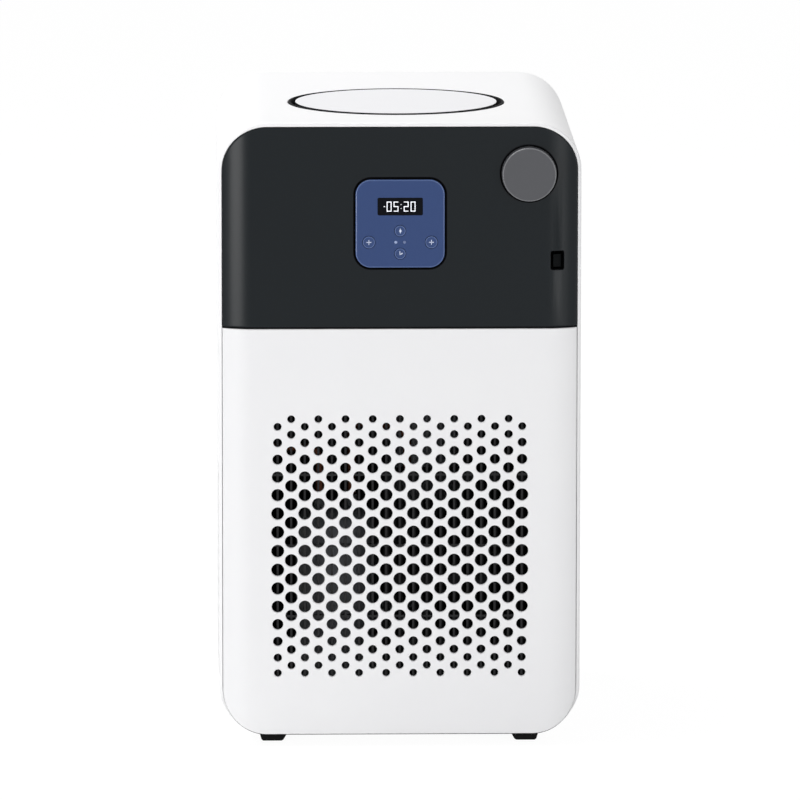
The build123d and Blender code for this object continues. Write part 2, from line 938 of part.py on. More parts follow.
with BuildPart() as lid_gasket:
    with BuildSketch(Plane.XY.offset(lid_bottom)):
        with Locations((0, bath_y)):
            Circle(lid_radius - seal_margin)
            Circle(tank_radius - plug_gap + insulation_gap, mode=Mode.SUBTRACT)
    extrude(amount=-(lid_bottom - ring_ledge - lid_gap))
write(lid_gasket, "lid_gasket")

# Ring in the casing's top: the groove round the lid, and a ledge for its seal
with BuildPart() as lid_ring:
    with BuildSketch(Plane.XY.offset(tank_rim)):
        with Locations((0, bath_y)):
            Circle(lid_ring_radius)
            Circle(tank_radius, mode=Mode.SUBTRACT)
    extrude(amount=ring_floor)
    with BuildSketch(Plane.XY.offset(ring_ledge)):
        with Locations((0, bath_y)):
            Circle(lid_ring_radius)
            Circle(lid_ring_radius - ring_wall, mode=Mode.SUBTRACT)
    extrude(amount=ring_drop)
    with BuildSketch(Plane.XY.offset(inner_top)):
        with Locations((0, bath_y)):
            Circle(ring_flange_radius)
            Circle(lid_ring_radius - ring_wall, mode=Mode.SUBTRACT)
    extrude(amount=-ring_flange)
write(lid_ring, "lid_ring")

# The bath: where the heater, the pump, the drain and the coil pass its wall and floor
heater_start = radians(90.0 - heater_sweep / 2)
heater_end = heater_start + radians(heater_sweep)
bath_axis = Vector(0, bath_y, 0)
up = Vector(0, 0, 1)
coil_low = tank_floor + coil_clearance
coil_high = coil_low + coil_turns * coil_pitch
coil_reach = insulation_radius + coil_stub
return_level = coil_high + return_rise
return_run_y = rear_inner - return_tail - return_run
drain_tap = Vector(drain_tap_x, bath_y + drain_tap_offset)
drain_run_y = rear_inner - drain_run
coil_line_y = bath_y + insulation_radius + line_standoff


def around(angle, radius):
    return bath_axis + Vector(cos(angle), sin(angle)) * radius


def turning(angle):
    return Vector(-sin(angle), cos(angle))


coil_slope = coil_pitch / (2 * pi)
coil_start = pi / 2


def coil_point(angle):
    return around(angle, coil_radius) + up * (coil_low + coil_slope * (angle - coil_start))


def coil_way(angle):
    return (turning(angle) * coil_radius + up * coil_slope).normalized()


coil_end = coil_start + 2 * pi * coil_turns
outward = Vector(0, 1, 0)
first_bend = coil_point(coil_start) - coil_way(coil_start) * coil_bend + outward * coil_bend
last_bend = coil_point(coil_end) + coil_way(coil_end) * coil_bend + outward * coil_bend
heater_feet = [
    around(heater_start, heater_radius) - turning(heater_start) * heater_bend,
    around(heater_end, heater_radius) + turning(heater_end) * heater_bend,
]
return_corner = Vector(-outlet_x, return_run_y, return_level)
return_way = (Vector(return_corner.X, return_corner.Y - bath_y)).normalized()
return_mouth = bath_axis + return_way * (tank_radius - return_inset) + up * return_level
floor_holes = [
    (heater_feet[0].X, heater_feet[0].Y, heater_tube),
    (heater_feet[1].X, heater_feet[1].Y, heater_tube),
    (pump_x, pump_y, pipe_radius),
    (drain_tap.X, drain_tap.Y, pipe_radius),
]
shelf_holes = floor_holes + [
    (-outlet_x, return_run_y, pipe_radius),
    (liquid_x, condenser_y + condenser_thickness / 2, line_radius),
    (suction_x, coil_line_y, line_radius),
]
wall_cuts = [
    rod(return_mouth, return_corner, pipe_radius + tube_clearance),
    rod(first_bend - outward * coil_tube, first_bend + outward * coil_reach, coil_tube + tube_clearance),
    rod(last_bend - outward * coil_tube, last_bend + outward * coil_reach, coil_tube + tube_clearance),
]

with BuildPart() as bath_tank:
    with BuildSketch(Plane.XY.offset(tank_bottom)):
        with Locations((0, bath_y)):
            Circle(tank_radius + tank_wall)
    extrude(amount=tank_rim - tank_bottom)
    with BuildSketch(Plane.XY.offset(tank_rim)):
        with Locations((0, bath_y)):
            Circle(tank_radius + tank_flange)
    extrude(amount=-tank_wall)
    with BuildSketch(Plane.XY.offset(tank_rim)):
        with Locations((0, bath_y)):
            Circle(tank_radius)
    extrude(amount=-tank_height, mode=Mode.SUBTRACT)
    with BuildSketch(Plane.XY.offset(tank_floor)):
        for x, y, radius in floor_holes:
            with Locations((x, y)):
                Circle(radius + tube_clearance)
    extrude(amount=-tank_wall, mode=Mode.SUBTRACT)
    add(wall_cuts, mode=Mode.SUBTRACT)
write(bath_tank, "bath_tank")

with BuildPart() as tank_insulation:
    with BuildSketch(Plane.XY.offset(shelf_top)):
        with Locations((0, bath_y)):
            Circle(insulation_radius)
    extrude(amount=tank_rim - tank_wall - shelf_top)
    with BuildSketch(Plane.XY.offset(tank_bottom)):
        with Locations((0, bath_y)):
            Circle(tank_radius + tank_wall + insulation_gap)
    extrude(amount=tank_height, mode=Mode.SUBTRACT)
    with BuildSketch(Plane.XY.offset(shelf_top)):
        for x, y, radius in floor_holes:
            with Locations((x, y)):
                Circle(radius + tube_clearance)
    extrude(amount=insulation_floor, mode=Mode.SUBTRACT)
    add(wall_cuts, mode=Mode.SUBTRACT)
write(tank_insulation, "tank_insulation")

# Shelf between the bath and the machine space, its flanges flat against the casing's sides
with BuildPart() as mid_shelf:
    shelf_length = shell_depth - rear_inset - shelf_front - shelf_back
    shelf_y = front_y + shelf_front + shelf_length / 2
    with BuildSketch(Plane.XY.offset(shelf_bottom)):
        with Locations((0, shelf_y)):
            Rectangle(2 * inner_half, shelf_length)
        for x, y, radius in shelf_holes:
            with Locations((x, y)):
                Circle(radius + shelf_hole_gap, mode=Mode.SUBTRACT)
    extrude(amount=shelf_thickness)
    with BuildSketch(Plane.XY.offset(shelf_bottom)):
        for side in (-1, 1):
            with Locations((side * (inner_half - shelf_thickness / 2), shelf_y)):
                Rectangle(shelf_thickness, shelf_length)
    extrude(amount=-shelf_flange)
write(mid_shelf, "mid_shelf")

# Cooling coil: one tube that winds up the bath and leaves through the wall at both ends
with BuildPart() as cooling_coil:
    with BuildLine() as coil_path:
        Line(Vector(first_bend.X, bath_y + coil_reach, first_bend.Z), first_bend)
        TangentArc(first_bend, coil_point(coil_start), tangent=outward * -1)
        for half_turn in range(2 * coil_turns):
            low = coil_start + half_turn * pi
            high = low + pi
            middle, middle_way = biarc(coil_point(low), coil_way(low), coil_point(high), coil_way(high))
            TangentArc(coil_point(low), middle, tangent=coil_way(low))
            TangentArc(middle, coil_point(high), tangent=middle_way)
        TangentArc(coil_point(coil_end), last_bend, tangent=coil_way(coil_end))
        Line(last_bend, Vector(last_bend.X, bath_y + coil_reach, last_bend.Z))
    with BuildSketch(Plane(origin=coil_path.line @ 0, z_dir=outward * -1)):
        Circle(coil_tube)
    sweep()
write(cooling_coil, "cooling_coil")
print("least gap between the coil's turns", coil_pitch - 2 * coil_tube)

with BuildPart() as heater_loop:
    ring_level = tank_floor + heater_rise
    leg_bottom = shelf_bottom - heater_leg
    legs = [Vector(foot.X, foot.Y, ring_level - heater_bend) for foot in heater_feet]
    ring_ends = [around(angle, heater_radius) + up * ring_level for angle in (heater_start, heater_end)]
    ring_middle = around((heater_start + heater_end) / 2, heater_radius) + up * ring_level
    with BuildLine() as heater_path:
        Line(Vector(legs[0].X, legs[0].Y, leg_bottom), legs[0])
        TangentArc(legs[0], ring_ends[0], tangent=up)
        ThreePointArc(ring_ends[0], ring_middle, ring_ends[1])
        TangentArc(ring_ends[1], legs[1], tangent=turning(heater_end))
        Line(legs[1], Vector(legs[1].X, legs[1].Y, leg_bottom))
    with BuildSketch(Plane(origin=heater_path.line @ 0, z_dir=up)):
        Circle(heater_tube)
    sweep()
write(heater_loop, "heater_loop")

# Level sensor: a stem on the bath's floor, with a float that slides between two collars
with BuildPart() as level_stem:
    upper_collar = float_low + float_height + float_travel + float_clearance
    for level, radius, height in (
        (0, base_radius, base_height),
        (0, stem_radius, stem_height),
        (float_low - float_clearance - collar_height, collar_radius, collar_height),
        (upper_collar, collar_radius, collar_height),
    ):
        with BuildSketch(Plane.XY.offset(tank_floor + level)):
            with Locations((0, bath_y)):
                Circle(radius)
        extrude(amount=height)
write(level_stem, "level_stem")

with BuildPart() as level_float:
    with BuildSketch(Plane.XY.offset(tank_floor + float_low)):
        with Locations((0, bath_y)):
            Circle(float_radius)
            Circle(stem_radius + float_clearance, mode=Mode.SUBTRACT)
    extrude(amount=float_height)
    fillet(level_float.edges().filter_by(GeomType.CIRCLE).sort_by(SortBy.RADIUS)[-2:], float_round)
write(level_float, "level_float")

with BuildPart() as temperature_probe:
    probe_place = around(radians(probe_angle), probe_offset)
    for radius, height in ((gland_radius, gland_height), (probe_radius, probe_height)):
        with BuildSketch(Plane.XY.offset(tank_floor)):
            with Locations((probe_place.X, probe_place.Y)):
                Circle(radius)
        extrude(amount=height)
write(temperature_probe, "temperature_probe")

# Pump: a housing hung from the shelf, an impeller in it and the motor below
with BuildPart() as pump_housing:
    outlet_end = pump_radius + 14.0
    with BuildSketch(Plane.XY.offset(pump_bottom)):
        with Locations((pump_x, pump_y)):
            Circle(pump_radius)
    extrude(amount=pump_height)
    with BuildSketch(Plane.XY.offset(pump_top)):
        with Locations((pump_x, pump_y)):
            with PolarLocations(boss_offset, 3, start_angle=90):
                Circle(pump_spigot)
    extrude(amount=pump_boss)
    with BuildSketch(upright(pump_y + outlet_start)):
        with Locations((outlet_x, pump_middle)):
            Circle(pipe_radius)
    extrude(amount=-(outlet_end - outlet_start))
    with BuildSketch(Plane.XY.offset(pump_top)):
        with Locations((pump_x, pump_y)):
            Circle(pipe_radius)
    extrude(amount=tank_floor - pump_top)
    with BuildSketch(Plane.XY.offset(pump_bottom + pump_wall)):
        with Locations((pump_x, pump_y)):
            Circle(pump_radius - pump_wall)
    extrude(amount=pump_height - 2 * pump_wall, mode=Mode.SUBTRACT)
    with BuildSketch(upright(pump_y)):
        with Locations((outlet_x, pump_middle)):
            Circle(pipe_bore)
    extrude(amount=-outlet_end, mode=Mode.SUBTRACT)
    with BuildSketch(Plane.XY.offset(pump_middle)):
        with Locations((pump_x, pump_y)):
            Circle(pipe_bore)
    extrude(amount=tank_floor - pump_middle, mode=Mode.SUBTRACT)
    with BuildSketch(Plane.XY.offset(pump_bottom)):
        with Locations((pump_x, pump_y)):
            Circle(pump_shaft + shaft_fit)
    extrude(amount=pump_wall, mode=Mode.SUBTRACT)
write(pump_housing, "pump_housing")

with BuildPart() as pump_impeller:
    impeller_base = pump_bottom + pump_wall + 1.5
    with BuildSketch(Plane.XY.offset(impeller_base)):
        with Locations((pump_x, pump_y)):
            Circle(impeller_radius)
    extrude(amount=impeller_disc)
    with BuildSketch(Plane.XY.offset(impeller_base + impeller_disc)):
        with Locations((pump_x, pump_y)):
            with PolarLocations((impeller_radius + pump_shaft) / 2, vane_count):
                Rectangle(impeller_radius - 2 * pump_shaft, vane_width)
    extrude(amount=vane_height)
    with BuildSketch(Plane.XY.offset(pump_bottom - shaft_drop)):
        with Locations((pump_x, pump_y)):
            Circle(pump_shaft)
    extrude(amount=impeller_base + impeller_disc + vane_height - pump_bottom + shaft_drop)
write(pump_impeller, "pump_impeller")

with BuildPart() as pump_motor:
    with BuildSketch(Plane.XY.offset(pump_bottom)):
        with Locations((pump_x, pump_y)):
            Circle(motor_radius)
    extrude(amount=-motor_height)
    fillet(pump_motor.faces().sort_by(Axis.Z)[0].edges(), motor_round)
    with BuildSketch(Plane.XY.offset(pump_bottom)):
        with Locations((pump_x, pump_y)):
            Circle(pump_shaft + shaft_fit)
    extrude(amount=-(shaft_drop + motor_step), mode=Mode.SUBTRACT)
write(pump_motor, "pump_motor")

# Hose nozzles on the rear and the pipes that lead to them
with BuildPart() as hose_nozzles:
    nozzle_end = back_y + rear_reach
    with BuildSketch(upright(rear_inner - return_tail)):
        with Locations((-outlet_x, pump_middle), (outlet_x, pump_middle)):
            Circle(pipe_radius)
    extrude(amount=-(return_tail + rear_thickness))
    with BuildSketch(upright(rear_face)):
        with Locations((-outlet_x, pump_middle), (outlet_x, pump_middle)):
            RegularPolygon(nozzle_hex, 6)
    extrude(amount=-nozzle_nut)
    with BuildSketch(upright(rear_face)):
        with Locations((-outlet_x, pump_middle), (outlet_x, pump_middle)):
            Circle(nozzle_radius)
    extrude(amount=-(nozzle_end - rear_face))
    with BuildSketch(upright(nozzle_end - bead_length)):
        with Locations((-outlet_x, pump_middle), (outlet_x, pump_middle)):
            Circle(nozzle_radius + nozzle_bead)
    extrude(amount=-bead_length)
    with BuildSketch(upright(rear_inner - return_tail)):
        with Locations((-outlet_x, pump_middle), (outlet_x, pump_middle)):
            Circle(nozzle_bore)
    extrude(amount=-(nozzle_end - rear_inner + return_tail), mode=Mode.SUBTRACT)
write(hose_nozzles, "hose_nozzles")

with BuildPart() as supply_pipe:
    pipe_start = pump_y + outlet_end
    with BuildSketch(upright(pipe_start)):
        with Locations((outlet_x, pump_middle)):
            Circle(pipe_radius)
            Circle(pipe_bore, mode=Mode.SUBTRACT)
    extrude(amount=-(rear_inner - return_tail - pipe_start))
write(supply_pipe, "supply_pipe")

return_pipe = bent_tube(
    [
        (-outlet_x, rear_inner - return_tail, pump_middle),
        (-outlet_x, return_run_y, pump_middle),
        return_corner,
        return_mouth,
    ],
    pipe_bend,
    pipe_radius,
    pipe_bore,
)
write(return_pipe, "return_pipe")

drain_turn_level = pump_bottom - drain_drop
drain_pipe = bent_tube(
    [
        (drain_tap.X, drain_tap.Y, tank_floor),
        (drain_tap.X, drain_tap.Y, drain_turn_level),
        (drain_x, drain_run_y, drain_turn_level),
        (drain_x, drain_run_y, drain_level),
        (drain_x, rear_inner - drain_tail, drain_level),
    ],
    pipe_bend,
    pipe_radius,
    pipe_bore,
)
write(drain_pipe, "drain_pipe")

# Drain cock with a lever that turns a quarter turn on its stem
lever_y = rear_face + valve_length / 2
lever_base = drain_level + valve_radius + valve_neck
with BuildPart() as drain_valve:
    for start, length, radius in (
        (rear_inner - drain_tail, drain_tail + rear_thickness, pipe_radius),
        (rear_face, valve_length, valve_radius),
        (rear_face + valve_length, spigot_length, nozzle_radius),
    ):
        with BuildSketch(upright(start)):
            with Locations((drain_x, drain_level)):
                Circle(radius)
        extrude(amount=-length)
    for top, radius in (
        (lever_base - lever_gap, stem_collar),
        (lever_base + lever_thickness + lever_gap, valve_stem),
    ):
        with BuildSketch(Plane.XY.offset(drain_level)):
            with Locations((drain_x, lever_y)):
                Circle(radius)
        extrude(amount=top - drain_level)
    with BuildSketch(Plane.XY.offset(lever_base + lever_thickness + lever_gap)):
        with Locations((drain_x, lever_y)):
            RegularPolygon(stem_collar, 6)
    extrude(amount=nut_height)
    with BuildSketch(upright(rear_inner - drain_tail)):
        with Locations((drain_x, drain_level)):
            Circle(pipe_bore)
    extrude(amount=-(drain_tail + rear_thickness + valve_length / 4), mode=Mode.SUBTRACT)
    with BuildSketch(upright(rear_face + valve_length)):
        with Locations((drain_x, drain_level)):
            Circle(nozzle_bore)
    extrude(amount=-spigot_length, mode=Mode.SUBTRACT)
write(drain_valve, "drain_valve")

with BuildPart() as drain_lever:
    with BuildSketch(Plane.XY.offset(lever_base)):
        with Locations((drain_x, lever_y)):
            Circle(hub_radius)
        with Locations((drain_x + lever_length / 2, lever_y)):
            SlotOverall(lever_length + arm_width, arm_width)
        with Locations((drain_x, lever_y)):
            Circle(valve_stem + shaft_fit, mode=Mode.SUBTRACT)
    extrude(amount=lever_thickness)
write(drain_lever, "drain_lever")

# Compressor on four rubber grommets
plate_level = tray_top + grommet_height
with BuildPart() as compressor:
    with BuildSketch(Plane.XY.offset(plate_level)):
        with Locations((compressor_x, compressor_y)):
            RectangleRounded(compressor_plate, compressor_plate, plate_corner)
    extrude(amount=plate_thickness)
    with BuildSketch(Plane.XY.offset(plate_level)):
        with Locations((compressor_x, compressor_y)):
            Circle(compressor_radius)
    extrude(amount=compressor_top - plate_level)
    fillet(compressor.faces().sort_by(Axis.Z)[-1].edges(), compressor_dome)
    with BuildSketch(Plane.XY.offset(compressor_top)):
        for x in (suction_stub, discharge_stub):
            with Locations((compressor_x + x, compressor_y)):
                Circle(line_radius + stub_wall)
    extrude(amount=terminal_height)
    with BuildSketch(Plane.XY.offset(compressor_top)):
        for x in (suction_stub, discharge_stub):
            with Locations((compressor_x + x, compressor_y)):
                Circle(line_radius + stub_wall)
    extrude(amount=-terminal_height)
write(compressor, "compressor")

with BuildPart() as compressor_grommets:
    grommet_spread = compressor_plate - 2 * grommet_radius
    with BuildSketch(Plane.XY.offset(tray_top)):
        with Locations((compressor_x, compressor_y)):
            with GridLocations(grommet_spread, grommet_spread, 2, 2):
                Circle(grommet_radius)
    extrude(amount=grommet_height)
write(compressor_grommets, "compressor_grommets")

# Condenser: a comb of upright fins between two headers, on folded legs
with BuildPart() as condenser:
    with BuildSketch(upright(condenser_y)):
        with Locations((condenser_x, fan_level)):
            Rectangle(condenser_width, condenser_height)
            with GridLocations(fin_pitch, (condenser_height - header) / 2, fin_count, 2):
                Rectangle(fin_gap, (condenser_height - 3 * header) / 2, mode=Mode.SUBTRACT)
    extrude(amount=-condenser_thickness)
    with BuildSketch(Plane.XY.offset(tray_top)):
        for side in (-1, 1):
            x = condenser_x + side * (condenser_width / 2 - leg_thickness / 2 - leg_width)
            with Locations((x, condenser_y + condenser_thickness / 2)):
                Rectangle(leg_thickness, condenser_thickness)
    extrude(amount=condenser_base - tray_top)
write(condenser, "condenser")

# Fan behind the condenser: a square frame with spokes and a hub, and a rotor in front of it
rotor_length = fan_depth - spoke_depth - rotor_front - hub_gap
with BuildPart() as fan_frame:
    with BuildSketch(upright(fan_y)):
        with Locations((condenser_x, fan_level)):
            RectangleRounded(fan_size, fan_size, fan_corner)
            Circle(fan_bore, mode=Mode.SUBTRACT)
    extrude(amount=-fan_depth)
    with BuildSketch(upright(fan_y + fan_depth - spoke_depth)):
        with Locations((condenser_x, fan_level)):
            Circle(fan_hub)
            with PolarLocations((fan_bore + fan_hub) / 2, 4, start_angle=45):
                Rectangle(fan_bore - fan_hub + 2 * spoke_sink, spoke_width)
            Circle(fan_shaft + shaft_fit, mode=Mode.SUBTRACT)
    extrude(amount=-spoke_depth)
write(fan_frame, "fan_frame")

with BuildPart() as fan_rotor:
    blade_root = fan_hub - blade_sink
    blade_slant = radians(blade_pitch)
    rotor_middle = fan_y + rotor_front + rotor_length / 2
    with BuildSketch(upright(fan_y + rotor_front)):
        with Locations((condenser_x, fan_level)):
            Circle(fan_hub)
    extrude(amount=-rotor_length)
    with BuildSketch(upright(fan_y + rotor_front)):
        with Locations((condenser_x, fan_level)):
            Circle(fan_shaft)
    extrude(amount=-(fan_depth - rotor_front))
    for blade in range(fan_blades):
        angle = 2 * pi * blade / fan_blades
        away = Vector(cos(angle), 0, sin(angle))
        across = Vector(-sin(angle), 0, cos(angle))
        chord = across * cos(blade_slant) + Vector(0, 1, 0) * sin(blade_slant)
        root = Vector(condenser_x, rotor_middle, fan_level) + away * blade_root
        with BuildSketch(Plane(origin=root, x_dir=chord, z_dir=away)):
            Rectangle(blade_chord, blade_thickness)
        extrude(amount=fan_tip - blade_root)
write(fan_rotor, "fan_rotor")

# Refrigerant lines: compressor to condenser, condenser through the drier to the coil, and back
condenser_middle_y = condenser_y + condenser_thickness / 2
condenser_inlet_x = condenser_left + condenser_inlet
suction_level = condenser_top + suction_rise
stub_top = compressor_top + terminal_height
discharge_line = bent_tube(
    [
        (compressor_x + discharge_stub, compressor_y, stub_top),
        (compressor_x + discharge_stub, compressor_y, condenser_top + line_rise),
        (condenser_inlet_x, condenser_middle_y, condenser_top + line_rise),
        (condenser_inlet_x, condenser_middle_y, condenser_top),
    ],
    line_bend,
    line_radius,
)
write(discharge_line, "discharge_line")

suction_line = bent_tube(
    [
        (last_bend.X, bath_y + coil_reach, coil_high),
        (last_bend.X, coil_line_y, coil_high),
        (suction_x, coil_line_y, coil_high),
        (suction_x, coil_line_y, suction_level),
        (suction_x, compressor_y, suction_level),
        (compressor_x + suction_stub, compressor_y, suction_level),
        (compressor_x + suction_stub, compressor_y, stub_top),
    ],
    line_bend,
    line_radius,
)
write(suction_line, "suction_line")

with BuildPart() as filter_drier:
    with BuildSketch(Plane.XY.offset(drier_low)):
        with Locations((liquid_x, condenser_middle_y)):
            Circle(drier_radius)
    extrude(amount=drier_height)
    fillet(filter_drier.edges().filter_by(GeomType.CIRCLE), drier_round)
write(filter_drier, "filter_drier")

outlet_line = bent_tube(
    [
        (condenser_right, condenser_middle_y, condenser_outlet),
        (liquid_x, condenser_middle_y, condenser_outlet),
        (liquid_x, condenser_middle_y, drier_low),
    ],
    line_bend,
    line_radius,
)
liquid_line = bent_tube(
    [
        (liquid_x, condenser_middle_y, drier_low + drier_height),
        (liquid_x, condenser_middle_y, coil_low),
        (liquid_x, coil_line_y, coil_low),
        (first_bend.X, coil_line_y, coil_low),
        (first_bend.X, bath_y + coil_reach, coil_low),
    ],
    line_bend,
    line_radius,
)
with BuildPart() as liquid_lines:
    add(outlet_line.part)
    add(liquid_line.part)
write(liquid_lines, "liquid_line")

# Rear panel with its exhaust slots, and the screws that hold it to the casing's rear lip
rear_screw_x = inner_half - lip_width / 2
slot_low = inlet_level + inlet_height / 2 + slot_rise
slot_high = pump_middle - slot_drop
slot_pitch = (slot_high - slot_low) / (slot_rows - 1)
slot_height = slot_pitch * slot_share
with BuildPart() as rear_panel:
    with BuildSketch(upright(rear_inner)):
        with Locations((0, shell_middle)):
            RectangleRounded(panel_width, panel_height, panel_corner)
            with GridLocations(2 * rear_screw_x, rear_screw_pitch, 2, rear_screw_rows):
                Circle(rear_screw + screw_shaft_gap, mode=Mode.SUBTRACT)
        with Locations((0, (slot_low + slot_high) / 2)):
            with GridLocations(slot_spread, slot_pitch, 2, slot_rows):
                SlotOverall(slot_length, slot_height, mode=Mode.SUBTRACT)
        with Locations((-outlet_x, pump_middle), (outlet_x, pump_middle), (drain_x, drain_level)):
            Circle(pipe_radius + rear_hole_clearance, mode=Mode.SUBTRACT)
        with Locations((inlet_x, inlet_level)):
            Rectangle(
                inlet_width - 2 * inlet_seat, inlet_height - 2 * inlet_seat, mode=Mode.SUBTRACT
            )
    extrude(amount=-rear_thickness)
write(rear_panel, "rear_panel")

with BuildPart() as rear_screws:
    with BuildSketch(upright(rear_face)):
        with Locations((0, shell_middle)):
            with GridLocations(2 * rear_screw_x, rear_screw_pitch, 2, rear_screw_rows):
                Circle(rear_screw_head)
    extrude(amount=-screw_head_height)
    with BuildSketch(upright(rear_face)):
        with Locations((0, shell_middle)):
            with GridLocations(2 * rear_screw_x, rear_screw_pitch, 2, rear_screw_rows):
                Circle(rear_screw)
    extrude(amount=rear_thickness)
write(rear_screws, "rear_screws")

# Mains inlet: a socket below and a rocker switch above in one housing
socket_level = inlet_level - socket_drop
rocker_level = inlet_level + rocker_rise
inlet_face = rear_face + inlet_flange
rocker_pivot = inlet_face - rocker_sink
with BuildPart() as mains_inlet:
    with BuildSketch(upright(rear_face)):
        with Locations((inlet_x, inlet_level)):
            RectangleRounded(inlet_width, inlet_height, inlet_corner)
    extrude(amount=-inlet_flange)
    with BuildSketch(upright(rear_face)):
        with Locations((inlet_x, inlet_level)):
            inlet_rim = 2 * (inlet_seat + rear_hole_clearance)
            Rectangle(inlet_width - inlet_rim, inlet_height - inlet_rim)
    extrude(amount=inlet_body)
    with BuildSketch(upright(inlet_face)):
        with Locations((inlet_x, socket_level)):
            RectangleRounded(socket_width, socket_height, socket_corner)
    extrude(amount=socket_depth, mode=Mode.SUBTRACT)
    with BuildSketch(upright(inlet_face)):
        with Locations((inlet_x, rocker_level)):
            Rectangle(
                rocker_width + 2 * rocker_clearance, 2 * (rocker_radius + rocker_clearance)
            )
    extrude(amount=rocker_radius + rocker_clearance + rocker_sink, mode=Mode.SUBTRACT)
    with BuildSketch(Plane.YZ.offset(inlet_x)):
        with Locations((rocker_pivot, rocker_level)):
            Circle(rocker_pin + shaft_fit)
    extrude(
        amount=rocker_width / 2 + rocker_pin_length + rocker_clearance, both=True, mode=Mode.SUBTRACT
    )
write(mains_inlet, "mains_inlet")

with BuildPart() as inlet_pins:
    with BuildSketch(upright(inlet_face - socket_depth)):
        with Locations(
            (inlet_x - pin_spread / 2, socket_level - pin_rise),
            (inlet_x, socket_level + pin_rise),
            (inlet_x + pin_spread / 2, socket_level - pin_rise),
        ):
            Rectangle(*pin_blade)
    extrude(amount=-blade_length)
write(inlet_pins, "inlet_pins")

with BuildPart() as power_rocker:
    tilt = radians(rocker_tilt)
    rocker_plane = Plane(
        origin=(inlet_x - rocker_width / 2, rocker_pivot, rocker_level),
        x_dir=(0, cos(tilt), -sin(tilt)),
        z_dir=(1, 0, 0),
    )
    with BuildSketch(rocker_plane):
        Circle(rocker_radius)
        with BuildLine():
            Polyline(
                (-rocker_back, -rocker_radius),
                (rocker_face + rocker_slant * rocker_radius, -rocker_radius),
                (rocker_face, 0),
                (rocker_face + rocker_slant * rocker_radius, rocker_radius),
                (-rocker_back, rocker_radius),
                close=True,
            )
        make_face(mode=Mode.INTERSECT)
    extrude(amount=rocker_width)
    with BuildSketch(Plane.YZ.offset(inlet_x)):
        with Locations((rocker_pivot, rocker_level)):
            Circle(rocker_pin)
    extrude(amount=rocker_width / 2 + rocker_pin_length, both=True)
write(power_rocker, "power_rocker")

# Power supply box on the tray
with BuildPart() as power_supply:
    supply_y = rear_inner - supply_margin - supply_length / 2
    with BuildSketch(Plane.XY.offset(tray_top)):
        with Locations((supply_x, supply_y)):
            Rectangle(supply_width, supply_length)
    extrude(amount=supply_height)
    with BuildSketch(Plane.XY.offset(tray_top + supply_height)):
        with Locations((supply_x, supply_y)):
            with GridLocations(supply_hole_x, supply_hole_y, supply_columns, supply_rows):
                Circle(supply_hole)
    extrude(amount=-supply_wall, mode=Mode.SUBTRACT)
write(power_supply, "power_supply")
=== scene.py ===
from functools import partial
from math import asin, atan2, cos, degrees, pi, radians, sin, sqrt

import bmesh
import bpy
from mathutils import Matrix, Vector
from mathutils.geometry import delaunay_2d_cdt


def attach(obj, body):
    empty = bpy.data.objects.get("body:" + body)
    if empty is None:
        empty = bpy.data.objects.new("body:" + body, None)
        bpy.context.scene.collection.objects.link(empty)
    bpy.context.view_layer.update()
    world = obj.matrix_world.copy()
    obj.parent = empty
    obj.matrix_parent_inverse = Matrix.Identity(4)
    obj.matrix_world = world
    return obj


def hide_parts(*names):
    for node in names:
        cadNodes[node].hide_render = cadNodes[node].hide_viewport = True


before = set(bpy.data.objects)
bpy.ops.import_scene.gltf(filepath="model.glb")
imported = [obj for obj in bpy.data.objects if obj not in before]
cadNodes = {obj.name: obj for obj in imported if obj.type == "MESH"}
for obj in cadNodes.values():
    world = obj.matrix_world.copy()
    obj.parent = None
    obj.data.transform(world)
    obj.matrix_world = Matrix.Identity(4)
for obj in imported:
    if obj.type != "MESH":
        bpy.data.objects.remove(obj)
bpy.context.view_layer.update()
mm = 0.001
print("loaded", len(cadNodes), "nodes of the packed circulator")


# Camera, fitted to the casing's edges, the lid and the feet
cameraSettings = {
    "place": (-0.1513, -6.2907, 1.1901), "turnRight": 1.414, "tiltDown": 8.786, "roll": 0.047,
    "lens": 405.0, "sensor": 36.0, "clip": (0.1, 60.0),
}


def addObject(name, data):
    made = bpy.data.objects.new(name, data)
    bpy.context.scene.collection.objects.link(made)
    return made


def makeCamera():
    data = bpy.data.cameras.new("photoCamera")
    data.lens = cameraSettings["lens"]
    data.sensor_width = cameraSettings["sensor"]
    data.clip_start, data.clip_end = cameraSettings["clip"]
    camera = addObject("photoCamera", data)
    turn = Matrix.Rotation(-radians(cameraSettings["turnRight"]), 4, "Z")
    tilt = Matrix.Rotation(radians(90.0 - cameraSettings["tiltDown"]), 4, "X")
    roll = Matrix.Rotation(radians(cameraSettings["roll"]), 4, "Z")
    camera.matrix_world = Matrix.Translation(cameraSettings["place"]) @ turn @ tilt @ roll
    bpy.context.scene.camera = camera


# Shader and geometry nodes
def clearedTree(owner):
    owner.use_nodes = True
    owner.node_tree.nodes.clear()
    return owner.node_tree


def addSocket(tree, name, kind, value=None, way="INPUT"):
    socket = tree.interface.new_socket(name=name, in_out=way, socket_type="NodeSocket" + kind)
    if value is not None:
        socket.default_value = value


def addNode(tree, kind, inputs=None, **settings):
    # inputs go by name or number; each is linked if it is another node's output, and otherwise set
    node = tree.nodes.new(kind)
    for name, value in settings.items():
        setattr(node, name, value)
    for name, value in (inputs or {}).items():
        if isinstance(value, bpy.types.NodeSocket):
            tree.links.new(value, node.inputs[name])
        else:
            node.inputs[name].default_value = value
    return node


def mathNode(tree, operation, *values):
    return addNode(tree, "ShaderNodeMath", dict(enumerate(values)), operation=operation).outputs[0]


def mixShaders(tree, share, first, second, output):
    mix = addNode(tree, "ShaderNodeMixShader", {0: share, 1: first.outputs[0], 2: second.outputs[0]})
    addNode(tree, output, {"Surface": mix.outputs[0]})


